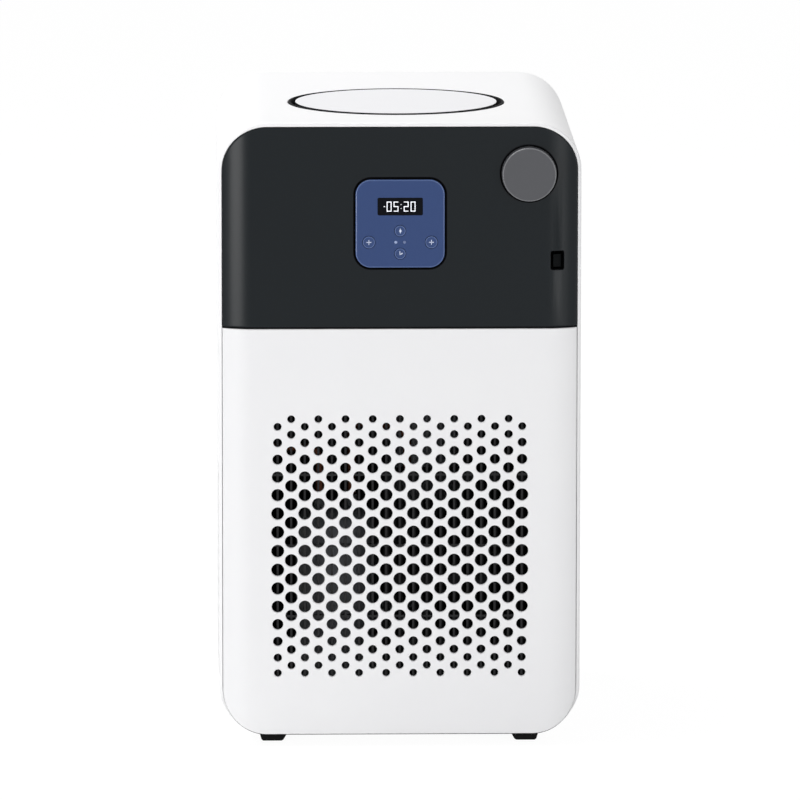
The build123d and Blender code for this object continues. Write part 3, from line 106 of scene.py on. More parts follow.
def seenDirectly(tree):
    # 1 for rays that see the room itself: from the camera, in a gloss or through a clear piece
    rays = tree.nodes.new("ShaderNodeLightPath").outputs
    seen = mathNode(tree, "MAXIMUM", rays["Is Camera Ray"], rays["Is Glossy Ray"])
    return mathNode(tree, "MAXIMUM", seen, rays["Is Transmission Ray"])


# Studio: a white room, a wide soft lamp in front, a large one above to the left and a low strip at each side
studioSettings = {
    "roomGlow": 0.4, "backdrop": 1.0, "white": (1.0, 1.0, 1.0, 1.0),
    # glowShare is how much of the floor, where it is seen directly, is its own glow
    "floorSize": 40.0, "floorDrop": 0.0002, "floorColour": (0.9, 0.9, 0.9, 1.0),
    "glowShare": 0.9, "glowStrength": 1.06,
    "lamps": {
        "frontLamp": {"place": (1.5, -3.2, 0.8), "target": (0.0, 0.0, 0.25), "size": (1.6, 1.2), "power": 16.0},
        "topLamp": {"place": (-1.2, 0.3, 2.7), "target": (0.0, 0.0, 0.4), "size": (2.0, 2.0), "power": 50.6},
        "leftStrip": {
            "place": (-1.33, -1.82, 0.18), "target": (-0.1, -0.1, 0.26), "size": (0.96, 0.42), "power": 12.6,
        },
        "rightStrip": {
            "place": (1.33, -1.82, 0.18), "target": (0.1, -0.1, 0.26), "size": (0.8, 0.46), "power": 2.5,
        },
    },
}


def makeStudio():
    studio = studioSettings
    world = bpy.data.worlds.new("whiteRoom")
    bpy.context.scene.world = world
    tree = clearedTree(world)
    ambient, seen = [
        addNode(tree, "ShaderNodeBackground", {"Color": studio["white"], "Strength": studio[strength]})
        for strength in ("roomGlow", "backdrop")
    ]
    mixShaders(tree, seenDirectly(tree), ambient, seen, "ShaderNodeOutputWorld")

    half = studio["floorSize"] / 2
    mesh = bpy.data.meshes.new("paleFloor")
    corners = [(x, y, -studio["floorDrop"]) for x, y in ((-half, -half), (half, -half), (half, half), (-half, half))]
    mesh.from_pydata(corners, [], [(0, 1, 2, 3)])
    floor = addObject("paleFloor", mesh)
    paper = bpy.data.materials.new("floorPaper")
    tree = clearedTree(paper)
    matt = addNode(tree, "ShaderNodeBsdfDiffuse", {"Color": studio["floorColour"]})
    glow = addNode(tree, "ShaderNodeEmission", {"Strength": studio["glowStrength"]})
    share = mathNode(tree, "MULTIPLY", seenDirectly(tree), studio["glowShare"])
    mixShaders(tree, share, matt, glow, "ShaderNodeOutputMaterial")
    mesh.materials.append(paper)

    for name, lamp in studio["lamps"].items():
        data = bpy.data.lights.new(name, "AREA")
        data.shape = "RECTANGLE"
        data.size, data.size_y = lamp["size"]
        data.energy = lamp["power"]
        light = addObject(name, data)
        way = Vector(lamp["target"]) - Vector(lamp["place"])
        light.matrix_world = Matrix.Translation(lamp["place"]) @ way.to_track_quat("-Z", "Y").to_matrix().to_4x4()
        light.visible_camera = False


makeCamera()
makeStudio()
bpy.context.scene.view_settings.view_transform = "Standard"
print("camera, floor and lamps are in place")


# Materials
def linear(level):
    # the usual curve from a picture's levels to linear light
    share = level / 255
    return share / 12.92 if share <= 0.04045 else ((share + 0.055) / 1.055) ** 2.4


def paint(red, green, blue):
    return (linear(red), linear(green), linear(blue), 1.0)


def makeGrainGroup():
    # fine relief and slow patches of any surface, from its own place in space
    tree = bpy.data.node_groups.new("surfaceGrain", "ShaderNodeTree")
    addSocket(tree, "Grains", "Float", 900.0)
    addSocket(tree, "Patches", "Float", 14.0)
    addSocket(tree, "Stretch", "Vector", (1.0, 1.0, 1.0))
    addSocket(tree, "Height", "Float", way="OUTPUT")
    addSocket(tree, "Patch", "Float", way="OUTPUT")
    given = tree.nodes.new("NodeGroupInput").outputs
    place = tree.nodes.new("ShaderNodeTexCoord").outputs["Object"]
    stretch = addNode(tree, "ShaderNodeVectorMath", {0: place, 1: given["Stretch"]}, operation="MULTIPLY").outputs[0]
    height = addNode(tree, "ShaderNodeTexNoise", {"Vector": stretch, "Scale": given["Grains"], "Detail": 3.0})
    patch = addNode(tree, "ShaderNodeTexNoise", {"Vector": stretch, "Scale": given["Patches"]})
    addNode(tree, "NodeGroupOutput", {"Height": height.outputs["Fac"], "Patch": patch.outputs["Fac"]})
    return tree


grainGroup = makeGrainGroup()


def makeMaterial(
    name, colour, patch, roughness, metallic=0.0, gloss=0.5, grains=900.0, patches=14.0, stretch=(1.0, 1.0, 1.0),
    relief=0.3, depth=0.00002, glow=0.0,
):
    # roughness is a range, patch the colour that the surface drifts to, depth the relief's in metres
    material = bpy.data.materials.new(name)
    tree = clearedTree(material)
    grain = addNode(
        tree, "ShaderNodeGroup", {"Grains": grains, "Patches": patches, "Stretch": stretch}, node_tree=grainGroup
    ).outputs
    colours = {"Factor": grain["Patch"], "A": paint(*colour), "B": paint(*patch)}
    mix = addNode(tree, "ShaderNodeMix", colours, data_type="RGBA")
    low, high = roughness
    spread = addNode(tree, "ShaderNodeMapRange", {"Value": grain["Height"], "To Min": low, "To Max": high})
    bump = addNode(tree, "ShaderNodeBump", {"Height": grain["Height"], "Strength": relief, "Distance": depth})
    shader = addNode(tree, "ShaderNodeBsdfPrincipled", {
        "Base Color": mix.outputs["Result"], "Roughness": spread.outputs["Result"], "Normal": bump.outputs["Normal"],
        "Metallic": metallic, "Specular IOR Level": gloss,
    })
    if glow:
        shader.inputs["Emission Color"].default_value = paint(*colour)
        shader.inputs["Emission Strength"].default_value = glow
    addNode(tree, "ShaderNodeOutputMaterial", {"Surface": shader.outputs[0]})
    return material


looks = {
    "casingPaint": dict(
        colour=(250, 250, 251), patch=(248, 248, 249), roughness=(0.36, 0.46), grains=700.0, relief=0.25, gloss=0.35,
    ),
    "whitePlastic": dict(
        colour=(243, 243, 244), patch=(240, 240, 242), roughness=(0.4, 0.5), grains=1100.0, relief=0.2, gloss=0.35,
    ),
    "rockerWhite": dict(colour=(226, 226, 224), patch=(218, 218, 216), roughness=(0.45, 0.55), gloss=0.3),
    "lidPlastic": dict(
        colour=(241, 241, 243), patch=(238, 238, 241), roughness=(0.42, 0.52), grains=1100.0, relief=0.2, gloss=0.35,
    ),
    "darkPlastic": dict(
        colour=(8, 17, 22), patch=(7, 15, 20), roughness=(0.27, 0.33), grains=1600.0, relief=0.15, gloss=0.22,
    ),
    # near-black of the tongue inside the service port: painted shade of the port's inside
    "tongueShadeDark": dict(
        colour=(3, 6, 8), patch=(2, 5, 7), roughness=(0.4, 0.5), grains=1600.0, relief=0.15, gloss=0.06,
    ),
    "bluePlastic": dict(
        colour=(45, 68, 116), patch=(42, 65, 114), roughness=(0.38, 0.46), grains=1400.0, relief=0.2, gloss=0.3,
    ),
    # lighter, glossier blue of the pad's rounded edge: a painted highlight
    "blueEdgeHighlight": dict(
        colour=(74, 98, 148), patch=(70, 94, 145), roughness=(0.22, 0.3), grains=1400.0, relief=0.15, gloss=0.6,
    ),
    "keyBlue": dict(
        colour=(48, 71, 119), patch=(45, 68, 117), roughness=(0.38, 0.46), grains=1400.0, relief=0.2, gloss=0.3,
    ),
    "keyRing": dict(colour=(94, 114, 160), patch=(88, 108, 156), roughness=(0.4, 0.5), gloss=0.3),
    "keyMark": dict(colour=(222, 230, 250), patch=(212, 222, 246), roughness=(0.4, 0.5), gloss=0.3),
    "displayGlass": dict(colour=(14, 15, 20), patch=(12, 13, 18), roughness=(0.3, 0.36), relief=0.05, gloss=0.05),
    "displayDigit": dict(colour=(250, 251, 255), patch=(247, 249, 255), roughness=(0.4, 0.5), glow=0.35),
    "lampLit": dict(colour=(158, 174, 212), patch=(150, 166, 206), roughness=(0.3, 0.38), glow=0.05),
    "lampDim": dict(colour=(112, 128, 170), patch=(104, 120, 164), roughness=(0.3, 0.38)),
    # lighter, glossier grey of the dial's bevel: a painted highlight
    "dialEdgeHighlight": dict(
        colour=(98, 99, 103), patch=(94, 95, 99), roughness=(0.24, 0.3), grains=1500.0, relief=0.1, gloss=1.0,
    ),
    "dialPlastic": dict(
        colour=(79, 80, 84), patch=(76, 77, 81), roughness=(0.32, 0.4), grains=1500.0, relief=0.25, gloss=0.42,
    ),
    "blackPlastic": dict(
        colour=(24, 24, 26), patch=(20, 20, 22), roughness=(0.45, 0.6), grains=1200.0, relief=0.3, gloss=0.25,
    ),
    "blackRubber": dict(
        colour=(14, 14, 15), patch=(10, 10, 11), roughness=(0.65, 0.8), grains=800.0, relief=0.4, gloss=0.12,
    ),
    "redPlastic": dict(colour=(168, 34, 30), patch=(158, 30, 27), roughness=(0.35, 0.45), gloss=0.4),
    "insulationFoam": dict(
        colour=(206, 204, 192), patch=(194, 192, 180), roughness=(0.85, 0.95), grains=420.0, relief=0.8,
        depth=0.0004, gloss=0.2,
    ),
    "boardGreen": dict(colour=(20, 84, 44), patch=(16, 74, 38), roughness=(0.3, 0.4), gloss=0.4),
    "brushedSteel": dict(
        colour=(172, 173, 176), patch=(156, 157, 161), roughness=(0.24, 0.38), metallic=1.0, grains=500.0,
        stretch=(0.04, 1.0, 1.0), relief=0.15,
    ),
    "zincSheet": dict(
        colour=(172, 174, 177), patch=(150, 153, 158), roughness=(0.35, 0.5), metallic=1.0, grains=260.0,
        patches=60.0, relief=0.15,
    ),
    "blackEnamel": dict(
        colour=(112, 114, 119), patch=(104, 106, 111), roughness=(0.3, 0.42), grains=500.0, relief=0.3, gloss=0.4,
    ),
    "blackCoat": dict(
        colour=(26, 27, 29), patch=(20, 21, 23), roughness=(0.55, 0.7), grains=700.0, stretch=(1.0, 1.0, 0.05),
        relief=0.3, gloss=0.2,
    ),
    # dark grey of the casing's and the rear panel's inner faces, the side vents and the louvres: painted shade inside
    # the casing
    "innerShadePaint": dict(
        colour=(30, 31, 33), patch=(24, 25, 27), roughness=(0.6, 0.75), grains=600.0, relief=0.35, gloss=0.15,
    ),
    # near-black on gap walls, recess walls, seals, the seam strip and the groove liner: painted shade for these gaps
    "gapShadeBlack": dict(
        colour=(8, 9, 12), patch=(5, 6, 9), roughness=(0.65, 0.8), grains=900.0, relief=0.3, gloss=0.1,
    ),
    "copperTube": dict(
        colour=(132, 84, 62), patch=(88, 54, 42), roughness=(0.35, 0.5), metallic=1.0, grains=300.0, patches=40.0,
        relief=0.15,
    ),
    "valveBrass": dict(
        colour=(190, 158, 92), patch=(168, 136, 74), roughness=(0.25, 0.38), metallic=1.0, grains=400.0, relief=0.2,
    ),
}
materials = {name: makeMaterial(name, **look) for name, look in looks.items()}

# every CAD node has a material, also those that scene pieces stand in for
finishOfNodes = {
    "casingPaint": ["outer_shell"],
    "whitePlastic": ["vent_grille", "lid_disc", "rear_panel"],
    "darkPlastic": ["upper_front_panel"],
    "bluePlastic": ["control_pad"],
    "keyBlue": ["key_left", "key_right", "key_up", "key_down"],
    "displayGlass": ["display_window"],
    "lampLit": ["indicator_lights"],
    "dialPlastic": ["dial_knob"],
    "blackPlastic": [
        "dial_plunger", "encoder_body", "lid_ring", "level_float", "grille_pins", "grille_catches", "dust_filter",
        "fan_frame", "fan_rotor", "pump_housing", "pump_impeller", "mains_inlet", "power_rocker",
    ],
    "blackRubber": ["lid_gasket", "feet", "compressor_grommets", "supply_pipe", "return_pipe", "drain_pipe"],
    "redPlastic": ["drain_lever"],
    "insulationFoam": ["lid_plug", "tank_insulation"],
    "boardGreen": ["control_board"],
    "brushedSteel": [
        "dial_shaft", "bath_tank", "heater_loop", "level_stem", "temperature_probe", "cooling_coil",
        "rear_screws", "foot_screws", "hose_nozzles",
    ],
    "zincSheet": ["mid_shelf", "chassis_tray", "power_supply"],
    "blackEnamel": ["compressor", "pump_motor"],
    # the front crossbar is black so that the seam between the panels shows dark: painted shade
    "blackCoat": ["condenser", "front_crossbar"],
    "gapShadeBlack": ["service_port"],
    "copperTube": ["discharge_line", "suction_line", "liquid_line", "filter_drier"],
    "valveBrass": ["drain_valve", "inlet_pins"],
}
for finish, names in finishOfNodes.items():
    for name in names:
        cadNodes[name].data.materials.clear()
        cadNodes[name].data.materials.append(materials[finish])
print("materials made:", len(materials))


# Mesh helpers: shapes are made in millimetres and brought to metres when a piece is finished
mergeDistance = 0.002


def finishPiece(name, form, finishes, body, replaces=(), sharpAngle=36.0):
    bmesh.ops.remove_doubles(form, verts=form.verts, dist=mergeDistance)
    bmesh.ops.recalc_face_normals(form, faces=form.faces)
    bmesh.ops.scale(form, vec=(mm, mm, mm), verts=form.verts)
    for face in form.faces:
        face.smooth = True
    for edge in form.edges:
        edge.smooth = len(edge.link_faces) == 2 and edge.calc_face_angle(pi) < radians(sharpAngle)
    mesh = bpy.data.meshes.new(name)
    form.to_mesh(mesh)
    form.free()
    for finish in finishes:
        mesh.materials.append(materials[finish])
    piece = addObject(name, mesh)
    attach(piece, body)
    if replaces:
        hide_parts(*replaces)
    print("made", name, len(mesh.polygons), "faces")


def arcPoints(centre, radius, start, end, steps):
    turns = [radians(start + (end - start) * step / steps) for step in range(steps + 1)]
    return [(centre[0] + radius * cos(turn), centre[1] + radius * sin(turn)) for turn in turns]


def quarterRound(radius, steps=4):
    # a rounded edge from its side to its face: each point's depth, and how far it lies inside
    turns = [pi / 2 * step / steps for step in range(steps + 1)]
    return [(radius * (1 - cos(turn)), radius * (1 - sin(turn))) for turn in turns]


def circleLoop(centre, radius, steps=48):
    return arcPoints(centre, radius, 0, 360, steps)[:-1]


def roundLoop(centre, width, height, corner, steps=8):
    x = width / 2 - corner
    z = height / 2 - corner
    loop = []
    for turn, side, level in ((0, x, z), (90, -x, z), (180, -x, -z), (270, x, -z)):
        loop += arcPoints((centre[0] + side, centre[1] + level), corner, turn, turn + 90, steps)
    return loop


def grownLoop(loop, distance):
    # the same loop moved outwards, with mitred corners
    grown = []
    for before, here, after in zip(loop[-1:] + loop[:-1], loop, loop[1:] + loop[:1]):
        first = (Vector(here) - Vector(before)).normalized()
        second = (Vector(after) - Vector(here)).normalized()
        way = Vector((first.y + second.y, -first.x - second.x)) / (1 + first.dot(second))
        grown.append((here[0] + way.x * distance, here[1] + way.y * distance))
    return grown


def spinesAt(places, loops, clearance=0.4):
    # upright lines inside a plate, which keep its faces narrow where it is bent
    spines = []
    for place in places:
        cuts = []
        for loop in loops:
            for (x0, z0), (x1, z1) in zip(loop, loop[1:] + loop[:1]):
                if (x0 < place) != (x1 < place):
                    cuts.append(z0 + (z1 - z0) * (place - x0) / (x1 - x0))
        cuts.sort()
        for low, high in zip(cuts[::2], cuts[1::2]):
            if high - low > 3 * clearance:
                spines.append(((place, low + clearance), (place, high - clearance)))
    return spines


def fillLoops(form, loops, places, depth, finish=0):
    # triangles between the first loop and the holes in it
    points, outlines, lines = [], [], []
    for loop in loops:
        outlines.append(list(range(len(points), len(points) + len(loop))))
        points += [Vector(point) for point in loop]
    for spine in spinesAt(places, loops):
        lines.append((len(points), len(points) + 1))
        points += [Vector(point) for point in spine]
    made = delaunay_2d_cdt(points, lines, outlines, 1, 1e-5, True)
    verts = [form.verts.new((point.x, depth, point.y)) for point in made[0]]
    for corners, origins in zip(made[2], made[5]):
        if origins == [0]:
            form.faces.new([verts[corner] for corner in corners]).material_index = finish


def joinLines(form, lines, finish=0):
    # closed bands of faces between lines of as many verts
    for near, far in zip(lines, lines[1:]):
        for step in range(len(near)):
            after = (step + 1) % len(near)
            form.faces.new([near[step], near[after], far[after], far[step]]).material_index = finish


def fillRings(form, rings, finish=0):
    # bands of faces between loops of equal length, each given with its depth
    joinLines(form, [[form.verts.new((x, depth, z)) for x, z in loop] for loop, depth in rings], finish)


def edgeRings(loop, side, edge, depth, steps=3, shoulder=0.3):
    # a rounded edge: side is -1 round the outside of a plate and 1 round a hole in it
    rings = [(grownLoop(loop, side * (edge + shoulder)), 0.0)]
    rings += [(grownLoop(loop, side * reach), level) for level, reach in quarterRound(edge, steps)]
    return rings + [(loop, depth)]


def makePlate(form, outer, holes, thickness, openings=(), places=(), sideFinish=0, backFinish=0):
    # outer and holes are (loop, edge radius, edge finish); openings are (front loop, back loop) made elsewhere
    fronts, backs = [], []
    for side, (loop, edge, edgeFinish) in [(-1, outer)] + [(1, hole) for hole in holes]:
        rings = edgeRings(loop, side, edge, thickness)
        fillRings(form, rings[:2])
        fillRings(form, rings[1:-1], edgeFinish)
        fillRings(form, rings[-2:], sideFinish)
        fronts.append(rings[0][0])
        backs.append(loop)
    fronts += [front for front, back in openings]
    backs += [back for front, back in openings]
    fillLoops(form, fronts, places, 0.0)
    fillLoops(form, backs, places, thickness, backFinish)


def bendForm(form, place):
    # each point of the flat form, given by its two places on the plate and its depth, goes to its real place
    bmesh.ops.remove_doubles(form, verts=form.verts, dist=mergeDistance)
    for vert in form.verts:
        vert.co = place(vert.co.x, vert.co.z, vert.co.y)


def turnForm(form, profile, centre, axis="Y", steps=64, finish=0):
    # profile is (radius, place along the axis); radius 0 closes an end
    rings = []
    for radius, along in profile:
        ring = []
        for step in range(1 if radius == 0 else steps):
            turn = 2 * pi * step / steps
            across = (centre[0] + radius * cos(turn), centre[1] + radius * sin(turn))
            ring.append(form.verts.new((across[0], along, across[1]) if axis == "Y" else (*across, along)))
        rings.append(ring)
    for near, far in zip(rings, rings[1:]):
        for step in range(steps):
            after = (step + 1) % steps
            corners = [near[step % len(near)], near[after % len(near)], far[after % len(far)], far[step % len(far)]]
            if len(near) == 1:
                corners.pop(0)
            if len(far) == 1:
                corners.pop()
            form.faces.new(corners).material_index = finish


def slabForm(form, outline, front, back, finish=0):
    ends = [[form.verts.new((x, depth, z)) for x, z in outline] for depth in (front, back)]
    for end in ends:
        form.faces.new(end).material_index = finish
    joinLines(form, ends, finish)


def strokeLoop(start, end, width, steps=4):
    # outline of a round-ended stroke
    way = Vector(end) - Vector(start)
    facing = degrees(atan2(way.y, way.x))
    ahead = arcPoints(end, width / 2, facing - 90, facing + 90, steps)
    return ahead + arcPoints(start, width / 2, facing + 90, facing + 270, steps)


# Geometry Nodes: one shape repeated in rows and columns, which may be staggered, squeezed and tapered
def makeRowsTree():
    tree = bpy.data.node_groups.new("rowsOfPieces", "GeometryNodeTree")
    addSocket(tree, "Piece", "Geometry")
    for name, value in (
        ("Columns", 1), ("Rows", 1), ("Column Pitch", 1.0), ("Row Pitch", 1.0), ("Squeeze", 0.0), ("Stagger", 0.0),
        ("End Size", 1.0), ("Taper Rows", 1.0), ("Middle Growth", 0.0), ("Growth Rows", 1.0),
    ):
        addSocket(tree, name, type(value).__name__.capitalize(), value)
    addSocket(tree, "Place", "Vector", (0.0, 0.0, 0.0))
    addSocket(tree, "Finish", "Material")
    addSocket(tree, "Geometry", "Geometry", way="OUTPUT")
    given = tree.nodes.new("NodeGroupInput").outputs
    index = tree.nodes.new("GeometryNodeInputIndex").outputs[0]
    plus, minus, times, over, least, most = [
        partial(mathNode, tree, operation)
        for operation in ("ADD", "SUBTRACT", "MULTIPLY", "DIVIDE", "MINIMUM", "MAXIMUM")
    ]
    row = mathNode(tree, "FLOOR", over(plus(index, 0.5), given["Columns"]))
    column = minus(index, times(row, given["Columns"]))
    lastRow = minus(given["Rows"], 1.0)
    across = times(minus(column, times(minus(given["Columns"], 1.0), 0.5)), given["Column Pitch"])
    step = minus(times(lastRow, 0.5), row)
    level = times(times(step, given["Row Pitch"]), minus(1.0, times(times(step, step), given["Squeeze"])))
    # the size grows from both ends on an eased curve, and once more towards the middle row
    share = least(over(least(row, minus(lastRow, row)), given["Taper Rows"]), 1.0)
    eased = times(times(share, share), minus(3.0, times(share, 2.0)))
    inner = over(step, given["Growth Rows"])
    bulge = most(minus(1.0, times(inner, inner)), 0.0)
    size = plus(given["End Size"], times(minus(1.0, given["End Size"]), eased))
    size = times(size, plus(times(bulge, given["Middle Growth"]), 1.0))
    odd = mathNode(tree, "MODULO", plus(row, column), 2.0)
    kept = mathNode(tree, "LESS_THAN", times(minus(1.0, odd), given["Stagger"]), 0.5)

    spot = addNode(tree, "ShaderNodeCombineXYZ", {"X": across, "Z": level})
    moved = addNode(tree, "ShaderNodeVectorMath", {0: spot.outputs[0], 1: given["Place"]})
    scale = addNode(tree, "ShaderNodeCombineXYZ", {"X": size, "Y": 1.0, "Z": size})
    count = times(given["Rows"], given["Columns"])
    points = addNode(tree, "GeometryNodePoints", {"Count": count, "Position": moved.outputs[0]})
    copies = addNode(tree, "GeometryNodeInstanceOnPoints", {
        "Points": points.outputs[0], "Selection": kept, "Instance": given["Piece"], "Scale": scale.outputs[0],
    })
    real = addNode(tree, "GeometryNodeRealizeInstances", {0: copies.outputs[0]})
    painted = addNode(tree, "GeometryNodeSetMaterial", {"Geometry": real.outputs[0], "Material": given["Finish"]})
    addNode(tree, "NodeGroupOutput", {"Geometry": painted.outputs[0]})
    return tree


rowsTree = makeRowsTree()


def addRows(form, shape, rule, finish, slot=0):
    # runs the tree on one small shape and adds what it makes to the form, whose materials have finish at slot
    seed = bpy.data.meshes.new("seed")
    shape.to_mesh(seed)
    shape.free()
    holder = addObject("seed", seed)
    modifier = holder.modifiers.new("rows", "NODES")
    modifier.node_group = rowsTree
    wanted = dict(rule, Finish=materials[finish])
    for socket in rowsTree.interface.items_tree:
        if socket.in_out == "INPUT" and socket.name in wanted:
            modifier[socket.identifier] = wanted[socket.name]
    made = bpy.data.meshes.new_from_object(holder.evaluated_get(bpy.context.evaluated_depsgraph_get()))
    holder.modifiers.remove(modifier)
    for face in made.polygons:
        face.material_index = slot
    form.from_mesh(made)
    bpy.data.objects.remove(holder)
    for spare in (made, seed):
        bpy.data.meshes.remove(spare)


# The front: flat in the middle, then turned back on a curve towards both sides
frontShape = {
    "face": -161.0, "flatHalf": 101.0, "curve": 37.0, "curveSteps": 12, "half": 122.3, "cornerSteps": 24,
}


def frontDepth(x, inset=0.0):
    beyond = max(abs(x) - frontShape["flatHalf"], 0.0)
    if beyond == 0.0:
        return frontShape["face"] + inset
    arc = frontShape["curve"] - inset
    return frontShape["face"] + frontShape["curve"] - sqrt(arc**2 - beyond**2)


def onFront(x, z, inset):
    return Vector((x, frontDepth(x, inset), z))


def curvePlaces():
    reach = asin((frontShape["half"] - frontShape["flatHalf"]) / frontShape["curve"])
    steps = frontShape["curveSteps"]
    out = [frontShape["flatHalf"] + frontShape["curve"] * sin(reach * step / steps) for step in range(steps)]
    return [-x for x in reversed(out)] + out


def panelLoop(low, high, corner, roundLow):
    # outline of a front panel: two round corners at its outer end, two square ones at the seam
    half, steps = frontShape["half"], frontShape["cornerSteps"]
    flat = curvePlaces()
    if roundLow:
        loop = arcPoints((half - corner, low + corner), corner, 270, 360, steps) + [(half, high)]
        loop += [(x, high) for x in reversed(flat)] + [(-half, high)]
        return loop + arcPoints((corner - half, low + corner), corner, 180, 270, steps)
    loop = [(-half, low)] + [(x, low) for x in flat] + [(half, low)]
    loop += arcPoints((half - corner, high - corner), corner, 0, 90, steps)
    return loop + arcPoints((corner - half, high - corner), corner, 90, 180, steps)


# Lower front panel with its staggered holes, a sill behind its lower edge and a black seal round its back, whose
# black in the gap round the panel is painted shade
ventSettings = {
    "low": 8.2, "high": 291.9, "corner": 30.8, "thickness": 3.0, "edge": 0.7,
    "columns": 19, "rows": 30, "columnPitch": 168.8 / 18, "rowPitch": 6.59, "squeeze": 0.00033, "middle": 140.2,
    "radius": 4.19, "endRadius": 2.7, "taperRows": 9.0, "growth": 0.07, "growthRows": 8.0, "rim": 0.3, "steps": 20,
    "sill": {"half": 91.0, "low": 8.3, "high": 9.8, "front": 2.9, "back": 7.7},
    "seal": {"high": 290.8, "narrowing": 0.997, "reach": 0.46, "hold": 0.5, "depths": (1.0, 2.8)},
}


def ventHoles():
    # the same rule as the tree's, for the openings in the panel's two faces
    vents = ventSettings
    for row in range(vents["rows"]):
        step = (vents["rows"] - 1) / 2 - row
        level = vents["middle"] + vents["rowPitch"] * step * (1 - vents["squeeze"] * step**2)
        share = min(1.0, min(row, vents["rows"] - 1 - row) / vents["taperRows"])
        eased = share**2 * (3 - 2 * share)
        size = (vents["endRadius"] + (vents["radius"] - vents["endRadius"]) * eased) / vents["radius"]
        size *= 1 + vents["growth"] * max(0.0, 1 - (step / vents["growthRows"]) ** 2)
        for column in range(1 - row % 2, vents["columns"], 2):
            yield (column - (vents["columns"] - 1) / 2) * vents["columnPitch"], level, size


def makeVentPanel():
    vents = ventSettings
    form = bmesh.new()
    rim = bmesh.new()
    hole = circleLoop((0, 0), vents["radius"], vents["steps"])
    rings = [(grownLoop(hole, vents["rim"]), 0.0), (hole, vents["rim"]), (hole, vents["thickness"])]
    fillRings(rim, rings)
    rule = {
        "Columns": vents["columns"], "Rows": vents["rows"], "Column Pitch": vents["columnPitch"],
        "Row Pitch": vents["rowPitch"], "Squeeze": vents["squeeze"], "Stagger": 1.0,
        "End Size": vents["endRadius"] / vents["radius"], "Taper Rows": vents["taperRows"],
        "Middle Growth": vents["growth"], "Growth Rows": vents["growthRows"],
        "Place": (0.0, 0.0, vents["middle"]),
    }
    addRows(form, rim, rule, "whitePlastic")
    openings = []
    for x, z, size in ventHoles():
        pair = (rings[0][0], rings[-1][0])
        openings.append(tuple([(x + px * size, z + pz * size) for px, pz in loop] for loop in pair))
    outer = (panelLoop(vents["low"], vents["high"], vents["corner"], True), vents["edge"], 0)
    makePlate(form, outer, [], vents["thickness"], openings, curvePlaces())
    bendForm(form, onFront)
    sill = vents["sill"]
    half, low, high = sill["half"], sill["low"], sill["high"]
    corners = [(-half, low), (half, low), (half, high), (-half, high)]
    slabForm(form, corners, frontDepth(0, sill["front"]), frontDepth(0, sill["back"]))
    finishPiece("vent_panel", form, ["whitePlastic"], "grille", ["vent_grille"])
    seal = vents["seal"]
    loop = panelLoop(vents["low"], seal["high"], vents["corner"], True)
    loop = [(x * seal["narrowing"], z) for x, z in loop]
    outer, inner = grownLoop(loop, seal["reach"]), grownLoop(loop, -seal["hold"])
    form = bmesh.new()
    front, back = seal["depths"]
    fillRings(form, [(outer, front), (outer, back), (inner, back), (inner, front), (outer, front)])
    bendForm(form, onFront)
    finishPiece("panel_seal", form, ["gapShadeBlack"], "grille")


# Dark upper panel: the pocket of the pad, the sunk ring round the dial, the service port; the walls of these openings
# and of the ring are near-black, painted shade
darkSettings = {
    "low": 293.1, "high": 431.8, "corner": 30.8, "thickness": 3.0, "edge": 0.7,
    "pocket": (0.0, 365.2, 63.3, 63.0, 11.5), "pocketEdge": 0.7,
    "port": (108.3, 339.2, 9.0, 12.9, 1.2), "portEdge": 0.35,
    "dial": (88.6, 399.5), "recess": 19.75, "recessDepth": 1.5, "recessEdge": 0.4, "shaftHole": 4.2,
    "cornerSteps": 10, "recessSteps": 72,
}


def makeDarkPanel():
    dark = darkSettings
    form = bmesh.new()
    outer = (panelLoop(dark["low"], dark["high"], dark["corner"], False), dark["edge"], 0)
    holes = []
    for name in ("pocket", "port"):
        (x, z, width, height, corner), edge = dark[name], dark[name + "Edge"]
        holes.append((roundLoop((x, z), width, height, corner, dark["cornerSteps"]), edge, 1))
    recess, hole = [circleLoop(dark["dial"], dark[size], dark["recessSteps"]) for size in ("recess", "shaftHole")]
    rings = edgeRings(recess, 1, dark["recessEdge"], dark["recessDepth"])
    fillRings(form, rings[:2])
    fillRings(form, rings[1:] + [(hole, dark["recessDepth"]), (hole, dark["thickness"])], 1)
    makePlate(form, outer, holes, dark["thickness"], [(rings[0][0], hole)], curvePlaces(), sideFinish=1)
    bendForm(form, onFront)
    finishPiece("dark_panel", form, ["darkPlastic", "gapShadeBlack"], "casing", ["upper_front_panel"])


# Black strip in the seam between the two panels, painted shade that darkens the seam; it stays on the casing
seamSettings = {"low": 292.02, "high": 293.06, "half": 122.2, "front": 1.0, "back": 2.9}


def makeSeam():
    seam = seamSettings
    form = bmesh.new()
    front, back, low, high = seam["front"], seam["back"], seam["low"], seam["high"]
    corners = [(front, low), (front, high), (back, high), (back, low)]
    places = [-seam["half"]] + curvePlaces() + [seam["half"]]
    ends = [[form.verts.new((x, inset, z)) for inset, z in corners] for x in places]
    joinLines(form, ends)
    form.faces.new(ends[0])
    form.faces.new(ends[-1])
    bendForm(form, onFront)
    finishPiece("seam_strip", form, ["gapShadeBlack"], "casing")


# Tongue inside the service port, darkened to paint the shade inside the port
tongueSettings = {
    "middle": (108.3, 338.6), "width": 5.9, "height": 9.2, "corner": 0.5, "cornerSteps": 4, "edge": 0.25,
    "front": 4.5, "back": 12.2,
}


